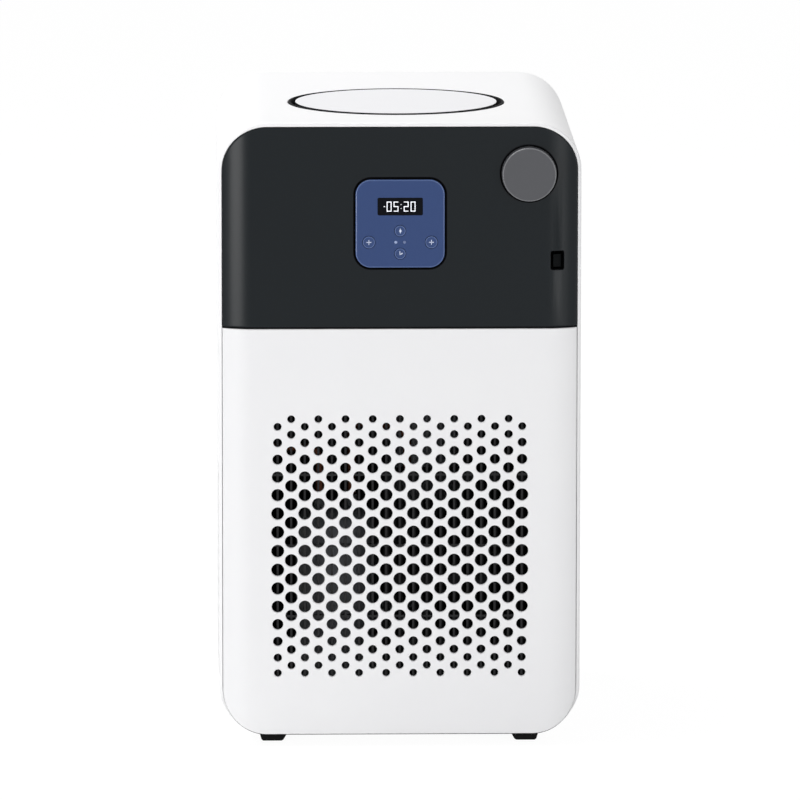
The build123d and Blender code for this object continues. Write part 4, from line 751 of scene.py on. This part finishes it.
def makeTongue():
    tongue = tongueSettings
    form = bmesh.new()
    loop = roundLoop(tongue["middle"], tongue["width"], tongue["height"], tongue["corner"], tongue["cornerSteps"])
    soft = grownLoop(loop, -tongue["edge"])
    rings = [(soft, tongue["front"]), (loop, tongue["front"] + tongue["edge"]), (loop, tongue["back"])]
    fillRings(form, rings)
    for loop, depth in (rings[0], rings[-1]):
        fillLoops(form, [loop], (), depth)
    bendForm(form, lambda x, z, inset: onFront(x, z, 0.0) + Vector((0.0, inset, 0.0)))
    finishPiece("port_tongue", form, ["tongueShadeDark"], "casing")


makeVentPanel()
makeDarkPanel()
makeSeam()
makeTongue()
print("front panels made")


# Control pad: a raised plate with a rounded edge in a lighter blue that paints its highlight, its flange behind the
# panel and four bosses
padSettings = {
    "centre": (0.0, 365.2), "width": 61.3, "height": 61.0, "corner": 10.5, "edge": 0.8,
    "front": -162.5, "panelBack": -158.0, "flangeBack": -156.6, "bossEnd": -153.0,
    "flange": 5.0, "bossRadius": 2.5, "bossInset": 2.65, "holeEdge": 0.08,
    "display": (0.0, 377.1, 31.2, 12.2, 1.0), "keyClearance": 0.3,
    "cornerSteps": 14, "keySteps": 40, "smallSteps": 24,
}
keySettings = {
    "front": -162.8, "back": -156.0, "dish": 0.3, "rim": 0.7, "edge": 0.12, "skin": 0.05,
    "cap": 3.0, "stem": 1.5, "steps": 48,
    # how far the dish rises in the middle, where it turns up to the rim, and the small roundings there
    "crown": 0.02, "turn": (0.5, 0.15), "soft": (0.06, 0.1, 0.09), "ring": (0.06, 0.1, 0.02),
    "places": {
        "key_left": (-21.5, 352.3, 4.2), "key_right": (21.5, 352.3, 4.2),
        "key_up": (0.0, 360.2, 3.8), "key_down": (0.0, 344.4, 3.8),
    },
    "stroke": 0.5, "cross": 1.5, "handStroke": 0.75, "handStart": (-0.2, -0.6), "handEnds": ((-0.2, 1.5), (1.5, 0.2)),
    "lozenge": (
        ((0.0, -2.1), (0.8, -0.25), (1.3, 0.0), (0.8, 0.25), (0.0, 2.1)),
        ((0.0, -1.4), (0.0, 1.4), (-0.7, 0.0)),
    ),
}
lampSettings = {
    "front": -162.5, "back": -153.0, "radius": 1.1, "level": 352.3, "spread": 3.0,
    "dome": 0.35, "domeShares": (0, 0.35, 0.65, 0.88, 1.0), "steps": 24,
}


def makePad():
    pad = padSettings
    keys = keySettings["places"].values()
    lamps = [(side * lampSettings["spread"], lampSettings["level"]) for side in (-1, 1)]
    x, z, width, height, corner = pad["display"]
    loops = [roundLoop((x, z), width, height, corner)]
    loops += [circleLoop((x, z), radius + pad["keyClearance"], pad["keySteps"]) for x, z, radius in keys]
    loops += [circleLoop(lamp, lampSettings["radius"], pad["smallSteps"]) for lamp in lamps]
    form = bmesh.new()
    outer = roundLoop(pad["centre"], pad["width"], pad["height"], pad["corner"], pad["cornerSteps"])
    thickness = pad["panelBack"] - pad["front"]
    holes = [(loop, pad["holeEdge"], 0) for loop in loops]
    # the plate's side and the flange behind it show in the gap round the pad; their near-black is painted shade
    makePlate(form, (outer, pad["edge"], 2), holes, thickness, sideFinish=1)
    bendForm(form, lambda x, z, inset: Vector((x, pad["front"] + inset, z)))
    flange = bmesh.new()
    rim = grownLoop(outer, pad["flange"])
    flangeThickness = pad["flangeBack"] - pad["panelBack"]
    for depth in (0.0, flangeThickness):
        fillLoops(flange, [rim] + loops, (), depth)
    for loop in [rim] + loops:
        fillRings(flange, [(loop, 0.0), (loop, flangeThickness)])
    bendForm(flange, lambda x, z, inset: Vector((x, pad["panelBack"] + inset, z)))
    for side in (-1, 1):
        for level in (-1, 1):
            x = pad["centre"][0] + side * (pad["width"] / 2 - pad["bossInset"])
            z = pad["centre"][1] + level * (pad["height"] / 2 - pad["bossInset"])
            start, end, radius = pad["flangeBack"], pad["bossEnd"], pad["bossRadius"]
            turnForm(flange, [(0, start), (radius, start), (radius, end), (0, end)], (x, z), steps=pad["smallSteps"])
    finishPiece("pad_plate", form, ["bluePlastic", "gapShadeBlack", "blueEdgeHighlight"], "casing", ["control_pad"])
    finishPiece("pad_flange", flange, ["gapShadeBlack"], "casing")


def markLoops(name):
    # plain signs: a lozenge on the upper key, two clock hands on the lower one, a cross on the side keys
    keys = keySettings
    if name == "key_up":
        return keys["lozenge"]
    if name == "key_down":
        widths = (keys["stroke"], keys["handStroke"])
        return [strokeLoop(keys["handStart"], end, width) for end, width in zip(keys["handEnds"], widths)]
    arm = keys["cross"]
    return [strokeLoop((-arm, 0.0), (arm, 0.0), keys["stroke"]), strokeLoop((0.0, -arm), (0.0, arm), keys["stroke"])]


def makeKeys():
    keys = keySettings
    front, skin = keys["front"], keys["skin"]
    floor, cap = front + keys["dish"], front + keys["cap"]
    (far, near), (low, wide, chamfer) = keys["turn"], keys["soft"]
    hold, sink, trim = keys["ring"]
    for name, (x, z, radius) in keys["places"].items():
        form = bmesh.new()
        outer = radius - keys["edge"]
        inner = radius - keys["rim"]
        profile = [(0, floor + keys["crown"]), (inner - far, floor), (inner - near, floor - low)]
        profile += [(inner, front + low), (inner + wide, front), (outer, front), (radius - chamfer, front + chamfer)]
        profile += [(radius, front + keys["edge"]), (radius, cap)]
        profile += [(keys["stem"], cap), (keys["stem"], keys["back"]), (0, keys["back"])]
        turnForm(form, profile, (x, z), steps=keys["steps"])
        finishPiece(name + "_cap", form, ["keyBlue"], name, [name])
        form = bmesh.new()
        ring = [(inner + hold, front + sink), (inner + sink, front - skin)]
        ring += [(outer - trim, front - skin), (outer, front + sink)]
        turnForm(form, ring + ring[:1], (x, z), steps=keys["steps"])
        for loop in markLoops(name):
            slabForm(form, [(x + px, z + pz) for px, pz in loop], floor - skin, floor + skin, 1)
        finishPiece(name + "_print", form, ["keyRing", "keyMark"], name)


def makeLamps():
    lamps = lampSettings
    form = bmesh.new()
    radius = lamps["radius"]
    profile = [(radius * share, lamps["front"] + lamps["dome"] * share**2) for share in lamps["domeShares"]]
    profile += [(radius, lamps["back"]), (0, lamps["back"])]
    for finish, side in enumerate((-1, 1)):
        turnForm(form, profile, (side * lamps["spread"], lamps["level"]), steps=lamps["steps"], finish=finish)
    finishPiece("lamp_lenses", form, ["lampLit", "lampDim"], "casing", ["indicator_lights"])


# Display: plain digits of seven strokes each, with a small tick before them
digitSettings = {
    "text": "05:20", "front": -162.5, "level": 377.1, "middle": 0.6, "height": 6.9, "width": 2.75,
    "stroke": 0.58, "pitch": 4.75, "colonPitch": 2.2, "colonRise": 1.4, "dot": 0.05, "tick": (1.1, 0.5),
    "rise": 0.03, "sink": 0.05, "gap": 0.02,
    "strokesOf": {"0": "abcdef", "2": "abdeg", "5": "acdfg"},
}


def makeDigits():
    digits = digitSettings
    tall, half = (digits["height"] - digits["stroke"]) / 2, digits["width"] / 2
    level = digits["level"]
    tickPlace, tickLength = digits["tick"]
    ends = {
        "a": ((-half, tall), (half, tall)), "b": ((half, tall), (half, 0)), "c": ((half, 0), (half, -tall)),
        "d": ((-half, -tall), (half, -tall)), "e": ((-half, 0), (-half, -tall)), "f": ((-half, tall), (-half, 0)),
        "g": ((-half, 0), (half, 0)),
    }
    widths = [digits["colonPitch"] if sign == ":" else digits["pitch"] for sign in digits["text"]]
    place = digits["middle"] - sum(widths) / 2
    strokes = [((place - tickPlace, level), (place - tickPlace + tickLength, level))]
    for sign, width in zip(digits["text"], widths):
        middle = place + width / 2
        place += width
        if sign == ":":
            dots = [level + side * digits["colonRise"] for side in (-1, 1)]
            strokes += [((middle, dot), (middle, dot + digits["dot"])) for dot in dots]
            continue
        for part in digits["strokesOf"][sign]:
            (x0, z0), (x1, z1) = ends[part]
            strokes.append(((middle + x0, level + z0), (middle + x1, level + z1)))
    form = bmesh.new()
    for start, end in strokes:
        # held back at both ends, so that no two strokes share a corner
        gap = (Vector(end) - Vector(start)).normalized() * digits["gap"]
        outline = strokeLoop(Vector(start) + gap, Vector(end) - gap, digits["stroke"])
        slabForm(form, outline, digits["front"] - digits["rise"], digits["front"] + digits["sink"])
    finishPiece("display_digits", form, ["displayDigit"], "casing")


makePad()
makeKeys()
makeLamps()
makeDigits()
print("control pad, keys and display made")


# Dial: a turned disc whose bevel is lighter and glossier, a painted highlight, on its shaft
dialSettings = {
    "centre": (88.6, 399.5), "radius": 18.9, "front": -168.0, "back": -160.7, "bevel": 0.8, "draft": 0.35,
    "bore": 3.05, "boreDepth": 4.0, "steps": 128,
    # roundings: flat before the bevel, both ends of the bevel and of its lower edge, and the rear edge
    "flat": 0.4, "bevelEnds": ((0.12, 0.03), (0.12, -0.21), (0.03, -0.09), (0.0, 0.05)),
    "rearRound": ((0.0, 0.5), (0.15, 0.12), (0.4, 0.0)),
}


def makeDial():
    dial = dialSettings
    front, bevel, base = dial["front"], dial["bevel"], dial["radius"]
    radius = base - dial["draft"]
    floor = dial["back"] - dial["boreDepth"]
    form = bmesh.new()
    face = [(0, front), (radius - bevel - dial["flat"], front), (radius - bevel, front)]
    (inward, sink), *lower = dial["bevelEnds"]
    edge = [(radius - bevel, front), (radius - bevel + inward, front + sink)]
    edge += [(radius - reach, front + bevel + level) for reach, level in lower]
    side = [edge[-1]] + [(base - reach, dial["back"] - level) for reach, level in dial["rearRound"]]
    side += [(dial["bore"], dial["back"]), (dial["bore"], floor), (0, floor)]
    for finish, profile in ((0, face), (1, edge), (0, side)):
        turnForm(form, profile, dial["centre"], steps=dial["steps"], finish=finish)
    finishPiece("dial_disc", form, ["dialPlastic", "dialEdgeHighlight"], "dial", ["dial_knob"])


makeDial()
print("dial made")


# Casing: one skin bent round the top, the sides and the bottom, open at the front and the rear
casingSettings = {
    "middle": 220.75, "width": 250.0, "height": 427.5, "corner": 33.5, "cornerSteps": 18, "wall": 2.3,
    "rear": 142.0, "rim": 0.7, "innerRim": 0.4, "innerSteps": 3, "rebate": 0.22, "rebateDepth": 1.1,
    "lowSetback": 8.0, "setbackStart": 0.1, "frontLip": (3.3, 5.3), "rearLip": (132.5, 134.5), "lipWidth": 7.0,
    "outerLap": 0.3, "innerLap": 0.4, "lidHole": (0.0, -37.4, 75.8), "lidHoleEdge": 0.5, "lidHoleSteps": 96,
    "ventRadius": 2.6, "ventPitch": 10.4, "ventRows": 9, "ventColumns": 15, "ventDepth": -95.0,
    "ventLevel": 111.0, "ventEdge": 0.3, "ventSteps": 12,
}


def casingContour():
    # points of the outer skin seen from the front, each with its distance along the skin and its normal
    casing = casingSettings
    corner, steps = casing["corner"], casing["cornerSteps"]
    half, rise = casing["width"] / 2 - corner, casing["height"] / 2 - corner
    points = [(0.0, casing["middle"] - casing["height"] / 2, 0.0, -1.0)]
    for turn, side, end in ((270, 1, -1), (0, 1, 1), (90, -1, 1), (180, -1, -1)):
        for step in range(steps + 1):
            angle = radians(turn + 90 * step / steps)
            x, z = cos(angle), sin(angle)
            points.append((side * half + corner * x, casing["middle"] + end * rise + corner * z, x, z))
    points.append(points[0])
    along = [0.0]
    for here, after in zip(points, points[1:]):
        along.append(along[-1] + sqrt((after[0] - here[0]) ** 2 + (after[1] - here[1]) ** 2))
    return points, along


def makeCasing():
    casing = casingSettings
    points, along = casingContour()
    corner = casing["cornerSteps"] + 1
    total = along[-1]
    sideRight = (along[corner] + along[corner + 1]) / 2
    top = (along[2 * corner] + along[2 * corner + 1]) / 2

    def onSkin(u, y, inset):
        u = min(max(u, 0.0), total)
        step = max(index for index in range(len(along) - 1) if along[index] <= u + 1e-6 or index == 0)
        share = (u - along[step]) / (along[step + 1] - along[step])
        here, after = points[step], points[step + 1]
        x, z, sideways, upwards = (here[k] + (after[k] - here[k]) * share for k in range(4))
        return Vector((x - inset * sideways, y, z - inset * upwards))

    def frontEdge(place, inset, upwards):
        # the lower edge stands back, and the front panel laps over it
        share = min(max(-2 * (upwards + casing["setbackStart"]), 0.0), 1.0)
        return frontDepth(place, inset) + casing["lowSetback"] * share**2 * (3 - 2 * share)

    def ringAt(inset, front=None, rear=None):
        ring = []
        for x, z, sideways, upwards in points[:-1]:
            place = x - inset * sideways
            ring.append((place, rear if front is None else frontEdge(place, front, upwards), z - inset * upwards))
        return ring

    form = bmesh.new()

    def joinRings(rings, finish=0):
        joinLines(form, [[form.verts.new(point) for point in ring] for ring in rings], finish)

    wall, rim, small, rear = casing["wall"], casing["rim"], casing["innerRim"], casing["rear"]
    tight, lip, rebate = wall + casing["rebate"], wall + casing["lipWidth"], casing["rebateDepth"]
    frontNear, frontFar = casing["frontLip"]
    rearNear, rearFar = casing["rearLip"]
    lap = rim + casing["outerLap"]
    lips = (frontFar + casing["innerLap"], rearNear - casing["innerLap"])
    edge = [(0.0, lap), *quarterRound(rim)]
    edge += [(wall - reach, level) for level, reach in quarterRound(small, casing["innerSteps"])]
    front = edge + [(wall, rebate), (tight, rebate + casing["rebate"]), (tight, frontNear), (lip, frontNear)]
    joinRings([ringAt(inset, front=depth) for inset, depth in front])
    inner = [(lip, frontNear), (lip, frontFar), (wall, frontFar), (wall, lips[0])]
    joinRings([ringAt(inset, front=depth) for inset, depth in inner], 1)
    joinRings([ringAt(inset, rear=rear - depth) for inset, depth in edge])
    outer = [(wall, rear - small), (wall, rearFar), (lip, rearFar)]
    joinRings([ringAt(inset, rear=level) for inset, level in outer])
    inner = [(lip, rearFar), (lip, rearNear), (wall, rearNear), (wall, lips[1])]
    joinRings([ringAt(inset, rear=level) for inset, level in inner], 1)

    # the skin itself, laid flat: across is the way round the casing, up is the way to the rear
    def border(inset, front, rear):
        depths = [frontEdge(x - inset * sideways, front, upwards) for x, _, sideways, upwards in points]
        return list(zip(along, depths)) + [(place, rear) for place in reversed(along)]

    skin = bmesh.new()
    x, y, radius = casing["lidHole"]
    hole = circleLoop((top - x, y), radius, casing["lidHoleSteps"])
    rings = edgeRings(hole, 1, casing["lidHoleEdge"], wall)
    fillRings(skin, rings)
    fronts, backs = [rings[0][0]], [hole]
    vent = circleLoop((0, 0), casing["ventRadius"], casing["ventSteps"])
    wide = grownLoop(vent, casing["ventEdge"])
    drop = casing["ventLevel"] - casing["middle"]
    columns, rows, pitch = casing["ventColumns"], casing["ventRows"], casing["ventPitch"]
    for middle in (sideRight + drop, total - sideRight - drop):
        rimForm = bmesh.new()
        fillRings(rimForm, [(wide, 0.0), (vent, casing["ventEdge"]), (vent, wall)])
        rule = {"Columns": columns, "Rows": rows, "Column Pitch": pitch, "Row Pitch": pitch}
        addRows(skin, rimForm, rule | {"Place": (middle, 0.0, casing["ventDepth"])}, "innerShadePaint", 1)
        for row in range(rows):
            for column in range(columns):
                across = middle + (column - (columns - 1) / 2) * pitch
                level = casing["ventDepth"] + ((rows - 1) / 2 - row) * pitch
                fronts.append([(across + px, level + pz) for px, pz in wide])
                backs.append([(across + px, level + pz) for px, pz in vent])
    bends = [place for place, point in zip(along, points) if abs(point[2]) > 1e-6 and abs(point[3]) > 1e-6]
    bends += [along[corner * k + j] for k in range(4) for j in (1, corner) if along[corner * k + j] not in bends]
    fillLoops(skin, [border(0.0, lap, rear - lap)] + fronts, bends, 0.0)
    fillLoops(skin, [border(wall, *lips)] + backs, bends, wall, 1)
    bendForm(skin, onSkin)
    flat = bpy.data.meshes.new("skin")
    skin.to_mesh(flat)
    skin.free()
    form.from_mesh(flat)
    bpy.data.meshes.remove(flat)
    finishPiece("casing_skin", form, ["casingPaint", "innerShadePaint"], "casing", ["outer_shell"])


# Rear panel with round-ended slots, a sloped louvre inside each slot, and its screws
rearSettings = {
    "middle": 220.75, "width": 244.6, "height": 422.1, "corner": 30.8, "front": 134.5, "thickness": 1.5, "edge": 0.3,
    "slots": {"sides": (-45.0, 45.0), "low": 116.0, "count": 9, "pitch": 9.0, "width": 62.0, "height": 4.0},
    "holes": ((-41.0, 227.0), (41.0, 227.0), (-84.0, 38.0)), "holeRadius": 6.2,
    "inlet": (76.0, 62.0, 42.0, 54.0, 0.6), "cornerSteps": 18, "slotSteps": 8, "holeSteps": 48, "inletSteps": 4,
    "louvre": {"reach": 5.2, "rise": 0.7, "drop": 2.8, "thickness": 0.8, "slope": 0.2},
    "screws": {
        "spread": 238.4, "pitch": 100.0, "rows": 4, "radius": 2.8, "height": 2.0, "steps": 24,
        "dome": ((1.0, 0.0), (1.0, 0.6), (0.93, 0.86), (0.76, 1.0)), "socket": 1.35, "socketDepth": 1.1,
    },
}


def makeRear():
    rear = rearSettings
    slots = rear["slots"]
    form = bmesh.new()
    outer = roundLoop((0, rear["middle"]), rear["width"], rear["height"], rear["corner"], rear["cornerSteps"])
    places = [(side, slots["low"] + row * slots["pitch"]) for side in slots["sides"] for row in range(slots["count"])]
    reach = (slots["width"] - slots["height"]) / 2
    loops = [strokeLoop((x - reach, z), (x + reach, z), slots["height"], rear["slotSteps"]) for x, z in places]
    loops += [circleLoop(place, rear["holeRadius"], rear["holeSteps"]) for place in rear["holes"]]
    x, z, width, height, corner = rear["inlet"]
    loops.append(roundLoop((x, z), width, height, corner, rear["inletSteps"]))
    holes = [(loop, rear["edge"], 0) for loop in loops]
    makePlate(form, (outer, rear["edge"], 0), holes, rear["thickness"], backFinish=1)
    outside = rear["front"] + rear["thickness"]
    bendForm(form, lambda x, z, inset: Vector((x, outside - inset, z)))
    finishPiece("rear_plate", form, ["casingPaint", "innerShadePaint"], "casing", ["rear_panel"])
    form = bmesh.new()
    louvre = rear["louvre"]
    thick, half = louvre["thickness"], slots["width"] / 2
    far, near = rear["front"], rear["front"] - louvre["reach"]
    for x, z in places:
        high, low = z + slots["height"] / 2 + louvre["rise"], z - slots["height"] / 2 - louvre["drop"]
        outline = [(far, high), (near, low), (near + louvre["slope"], low - thick), (far, high - thick)]
        ends = [[form.verts.new((place, y, level)) for y, level in outline] for place in (x - half, x + half)]
        for end in ends:
            form.faces.new(end)
        joinLines(form, ends)
    finishPiece("rear_louvres", form, ["innerShadePaint"], "casing")
    screws = rear["screws"]
    head, radius, steps = screws["height"], screws["radius"], screws["steps"]
    socket = []
    for step in range(steps):
        # six flat sides: the distance grows from the middle of a side to its corner
        turn = 360 * step / steps
        reach = screws["socket"] / cos(radians(turn % 60 - 30))
        socket.append((reach * cos(radians(turn)), reach * sin(radians(turn))))
    seed = bmesh.new()
    rings = [(circleLoop((0, 0), size * radius, steps), level * head) for size, level in screws["dome"]]
    fillRings(seed, rings + [(socket, head), (socket, head - screws["socketDepth"])])
    fillLoops(seed, [rings[0][0]], (), 0.0)
    fillLoops(seed, [socket], (), head - screws["socketDepth"])
    form = bmesh.new()
    addRows(form, seed, {
        "Columns": 2, "Rows": screws["rows"], "Column Pitch": screws["spread"], "Row Pitch": screws["pitch"],
        "Place": (0.0, outside, rear["middle"]),
    }, "brushedSteel")
    finishPiece("rear_screw_heads", form, ["brushedSteel"], "casing", ["rear_screws"])


# Lid: a white cap with a soft edge and a black side, whose black is painted shade in the groove round the lid
lidSettings = {
    "centre": (0.0, -37.4), "radius": 70.4, "low": 424.0, "high": 435.0, "edge": 0.16, "cap": 0.17, "flat": 1.0,
    "chamfer": 0.4, "recess": 66.0, "recessTop": 431.5, "steps": 128,
}


def makeLid():
    lid = lidSettings
    radius, high, edge = lid["radius"], lid["high"], lid["edge"]
    form = bmesh.new()
    low, chamfer, recess = lid["low"], lid["chamfer"], lid["recess"]
    cap = [(0, high), (radius - edge - lid["flat"], high)]
    cap += [(radius - reach, high - level) for level, reach in quarterRound(edge)] + [(radius, high - lid["cap"])]
    side = [cap[-1], (radius, low + chamfer), (radius - chamfer, low), (recess, low)]
    side += [(recess, lid["recessTop"]), (0, lid["recessTop"])]
    for finish, profile in enumerate((cap, side)):
        turnForm(form, profile, lid["centre"], "Z", lid["steps"], finish)
    finishPiece("lid_cap", form, ["lidPlastic", "gapShadeBlack"], "lid", ["lid_disc"])


# Black liner of the lid's groove: a floor, a wall, a flange under the casing's top and a lip round the lid; a black
# part whose near-black also paints the shade in the groove
linerSettings = {
    "centre": (0.0, -37.4), "bore": 62.0, "wall": (73.9, 75.5), "flange": 82.0, "floor": (418.5, 420.5),
    "flangeLevels": (430.2, 432.2), "high": 434.97, "edge": 0.3, "cut": 0.09, "steps": 128,
}


def makeLiner():
    liner = linerSettings
    inner, outer = liner["wall"]
    low, ledge = liner["floor"]
    under, over = liner["flangeLevels"]
    high, edge, cut = liner["high"], liner["edge"], liner["cut"]
    bore, flange = liner["bore"], liner["flange"]
    profile = [(bore, low), (outer, low), (outer, under), (flange, under), (flange, over), (outer, over)]
    profile += [(outer, high - edge), (outer - cut, high - cut), (outer - edge, high)]
    profile += [(inner + edge, high), (inner + cut, high - cut), (inner, high - edge)]
    profile += [(inner, ledge), (bore, ledge), (bore, low)]
    form = bmesh.new()
    turnForm(form, profile, liner["centre"], "Z", liner["steps"])
    finishPiece("groove_liner", form, ["gapShadeBlack"], "casing", ["lid_ring"])


# Feet: sloped blocks with soft lower edges and a sunk screw hole
feetSettings = {
    "middles": (-131.0, 112.0), "length": 24.0, "height": 7.0, "bottom": (80.7, 95.4), "top": (76.8, 97.4),
    "corner": 1.6, "leastCorner": 0.3, "cornerSteps": 5, "edge": 1.4,
    "screwHead": 4.0, "screwDepth": 3.0, "screwHole": 2.2, "screwPlace": 87.0, "screwSteps": 32,
}


def makeFeet():
    feet = feetSettings
    height = feet["height"]
    form = bmesh.new()
    for middle in feet["middles"]:
        for side in (-1, 1):
            rings = []
            for level, inset in quarterRound(feet["edge"]) + [(height, 0.0)]:
                share = level / height
                near, far = [low + (high - low) * share for low, high in zip(feet["bottom"], feet["top"])]
                width, length = far - near - 2 * inset, feet["length"] - 2 * inset
                corner = max(feet["corner"] - inset, feet["leastCorner"])
                loop = roundLoop((side * (near + far) / 2, middle), width, length, corner, feet["cornerSteps"])
                rings.append((loop, level))
            place = (side * feet["screwPlace"], middle)
            head, hole = [circleLoop(place, feet[size], feet["screwSteps"]) for size in ("screwHead", "screwHole")]
            fillRings(form, rings)
            fillRings(form, [(head, 0.0), (head, feet["screwDepth"]), (hole, feet["screwDepth"]), (hole, height)])
            fillLoops(form, [rings[0][0], head], (), 0.0)
            fillLoops(form, [rings[-1][0], hole], (), height)
    bendForm(form, lambda x, y, level: Vector((x, y, level)))
    finishPiece("foot_blocks", form, ["blackRubber"], "casing", ["feet"])


# Marks on the power rocker: a bar above and a ring below, lying on its two sloped faces
rockerSettings = {
    "middle": 76.0, "pivot": (137.5, 76.0), "tilt": 8.0, "face": 3.2, "slant": 0.14, "spread": 4.3,
    "bar": 3.0, "stroke": 0.7, "ring": 1.7, "ringSteps": 32, "rise": 0.04,
}


def makeRockerMarks():
    rocker = rockerSettings
    form = bmesh.new()
    spread, stroke, rise = rocker["spread"], rocker["stroke"], rocker["rise"]
    half = rocker["bar"] / 2
    slabForm(form, strokeLoop((0, spread - half), (0, spread + half), stroke), -rise, rise)
    radii = (rocker["ring"], rocker["ring"] - stroke)
    outer, inner = [circleLoop((0, -spread), radius, rocker["ringSteps"]) for radius in radii]
    fillRings(form, [(outer, -rise), (outer, rise), (inner, rise), (inner, -rise), (outer, -rise)])
    tilt = radians(rocker["tilt"])

    def onRocker(x, along, depth):
        y, z = rocker["pivot"]
        out = rocker["face"] + rocker["slant"] * abs(along) - depth
        y, z = y + out * cos(tilt) + along * sin(tilt), z - out * sin(tilt) + along * cos(tilt)
        return Vector((rocker["middle"] + x, y, z))

    bendForm(form, onRocker)
    finishPiece("rocker_marks", form, ["rockerWhite"], "rocker")


makeCasing()
makeRear()
makeLid()
makeLiner()
makeFeet()
makeRockerMarks()
print("casing, rear, lid and feet made")
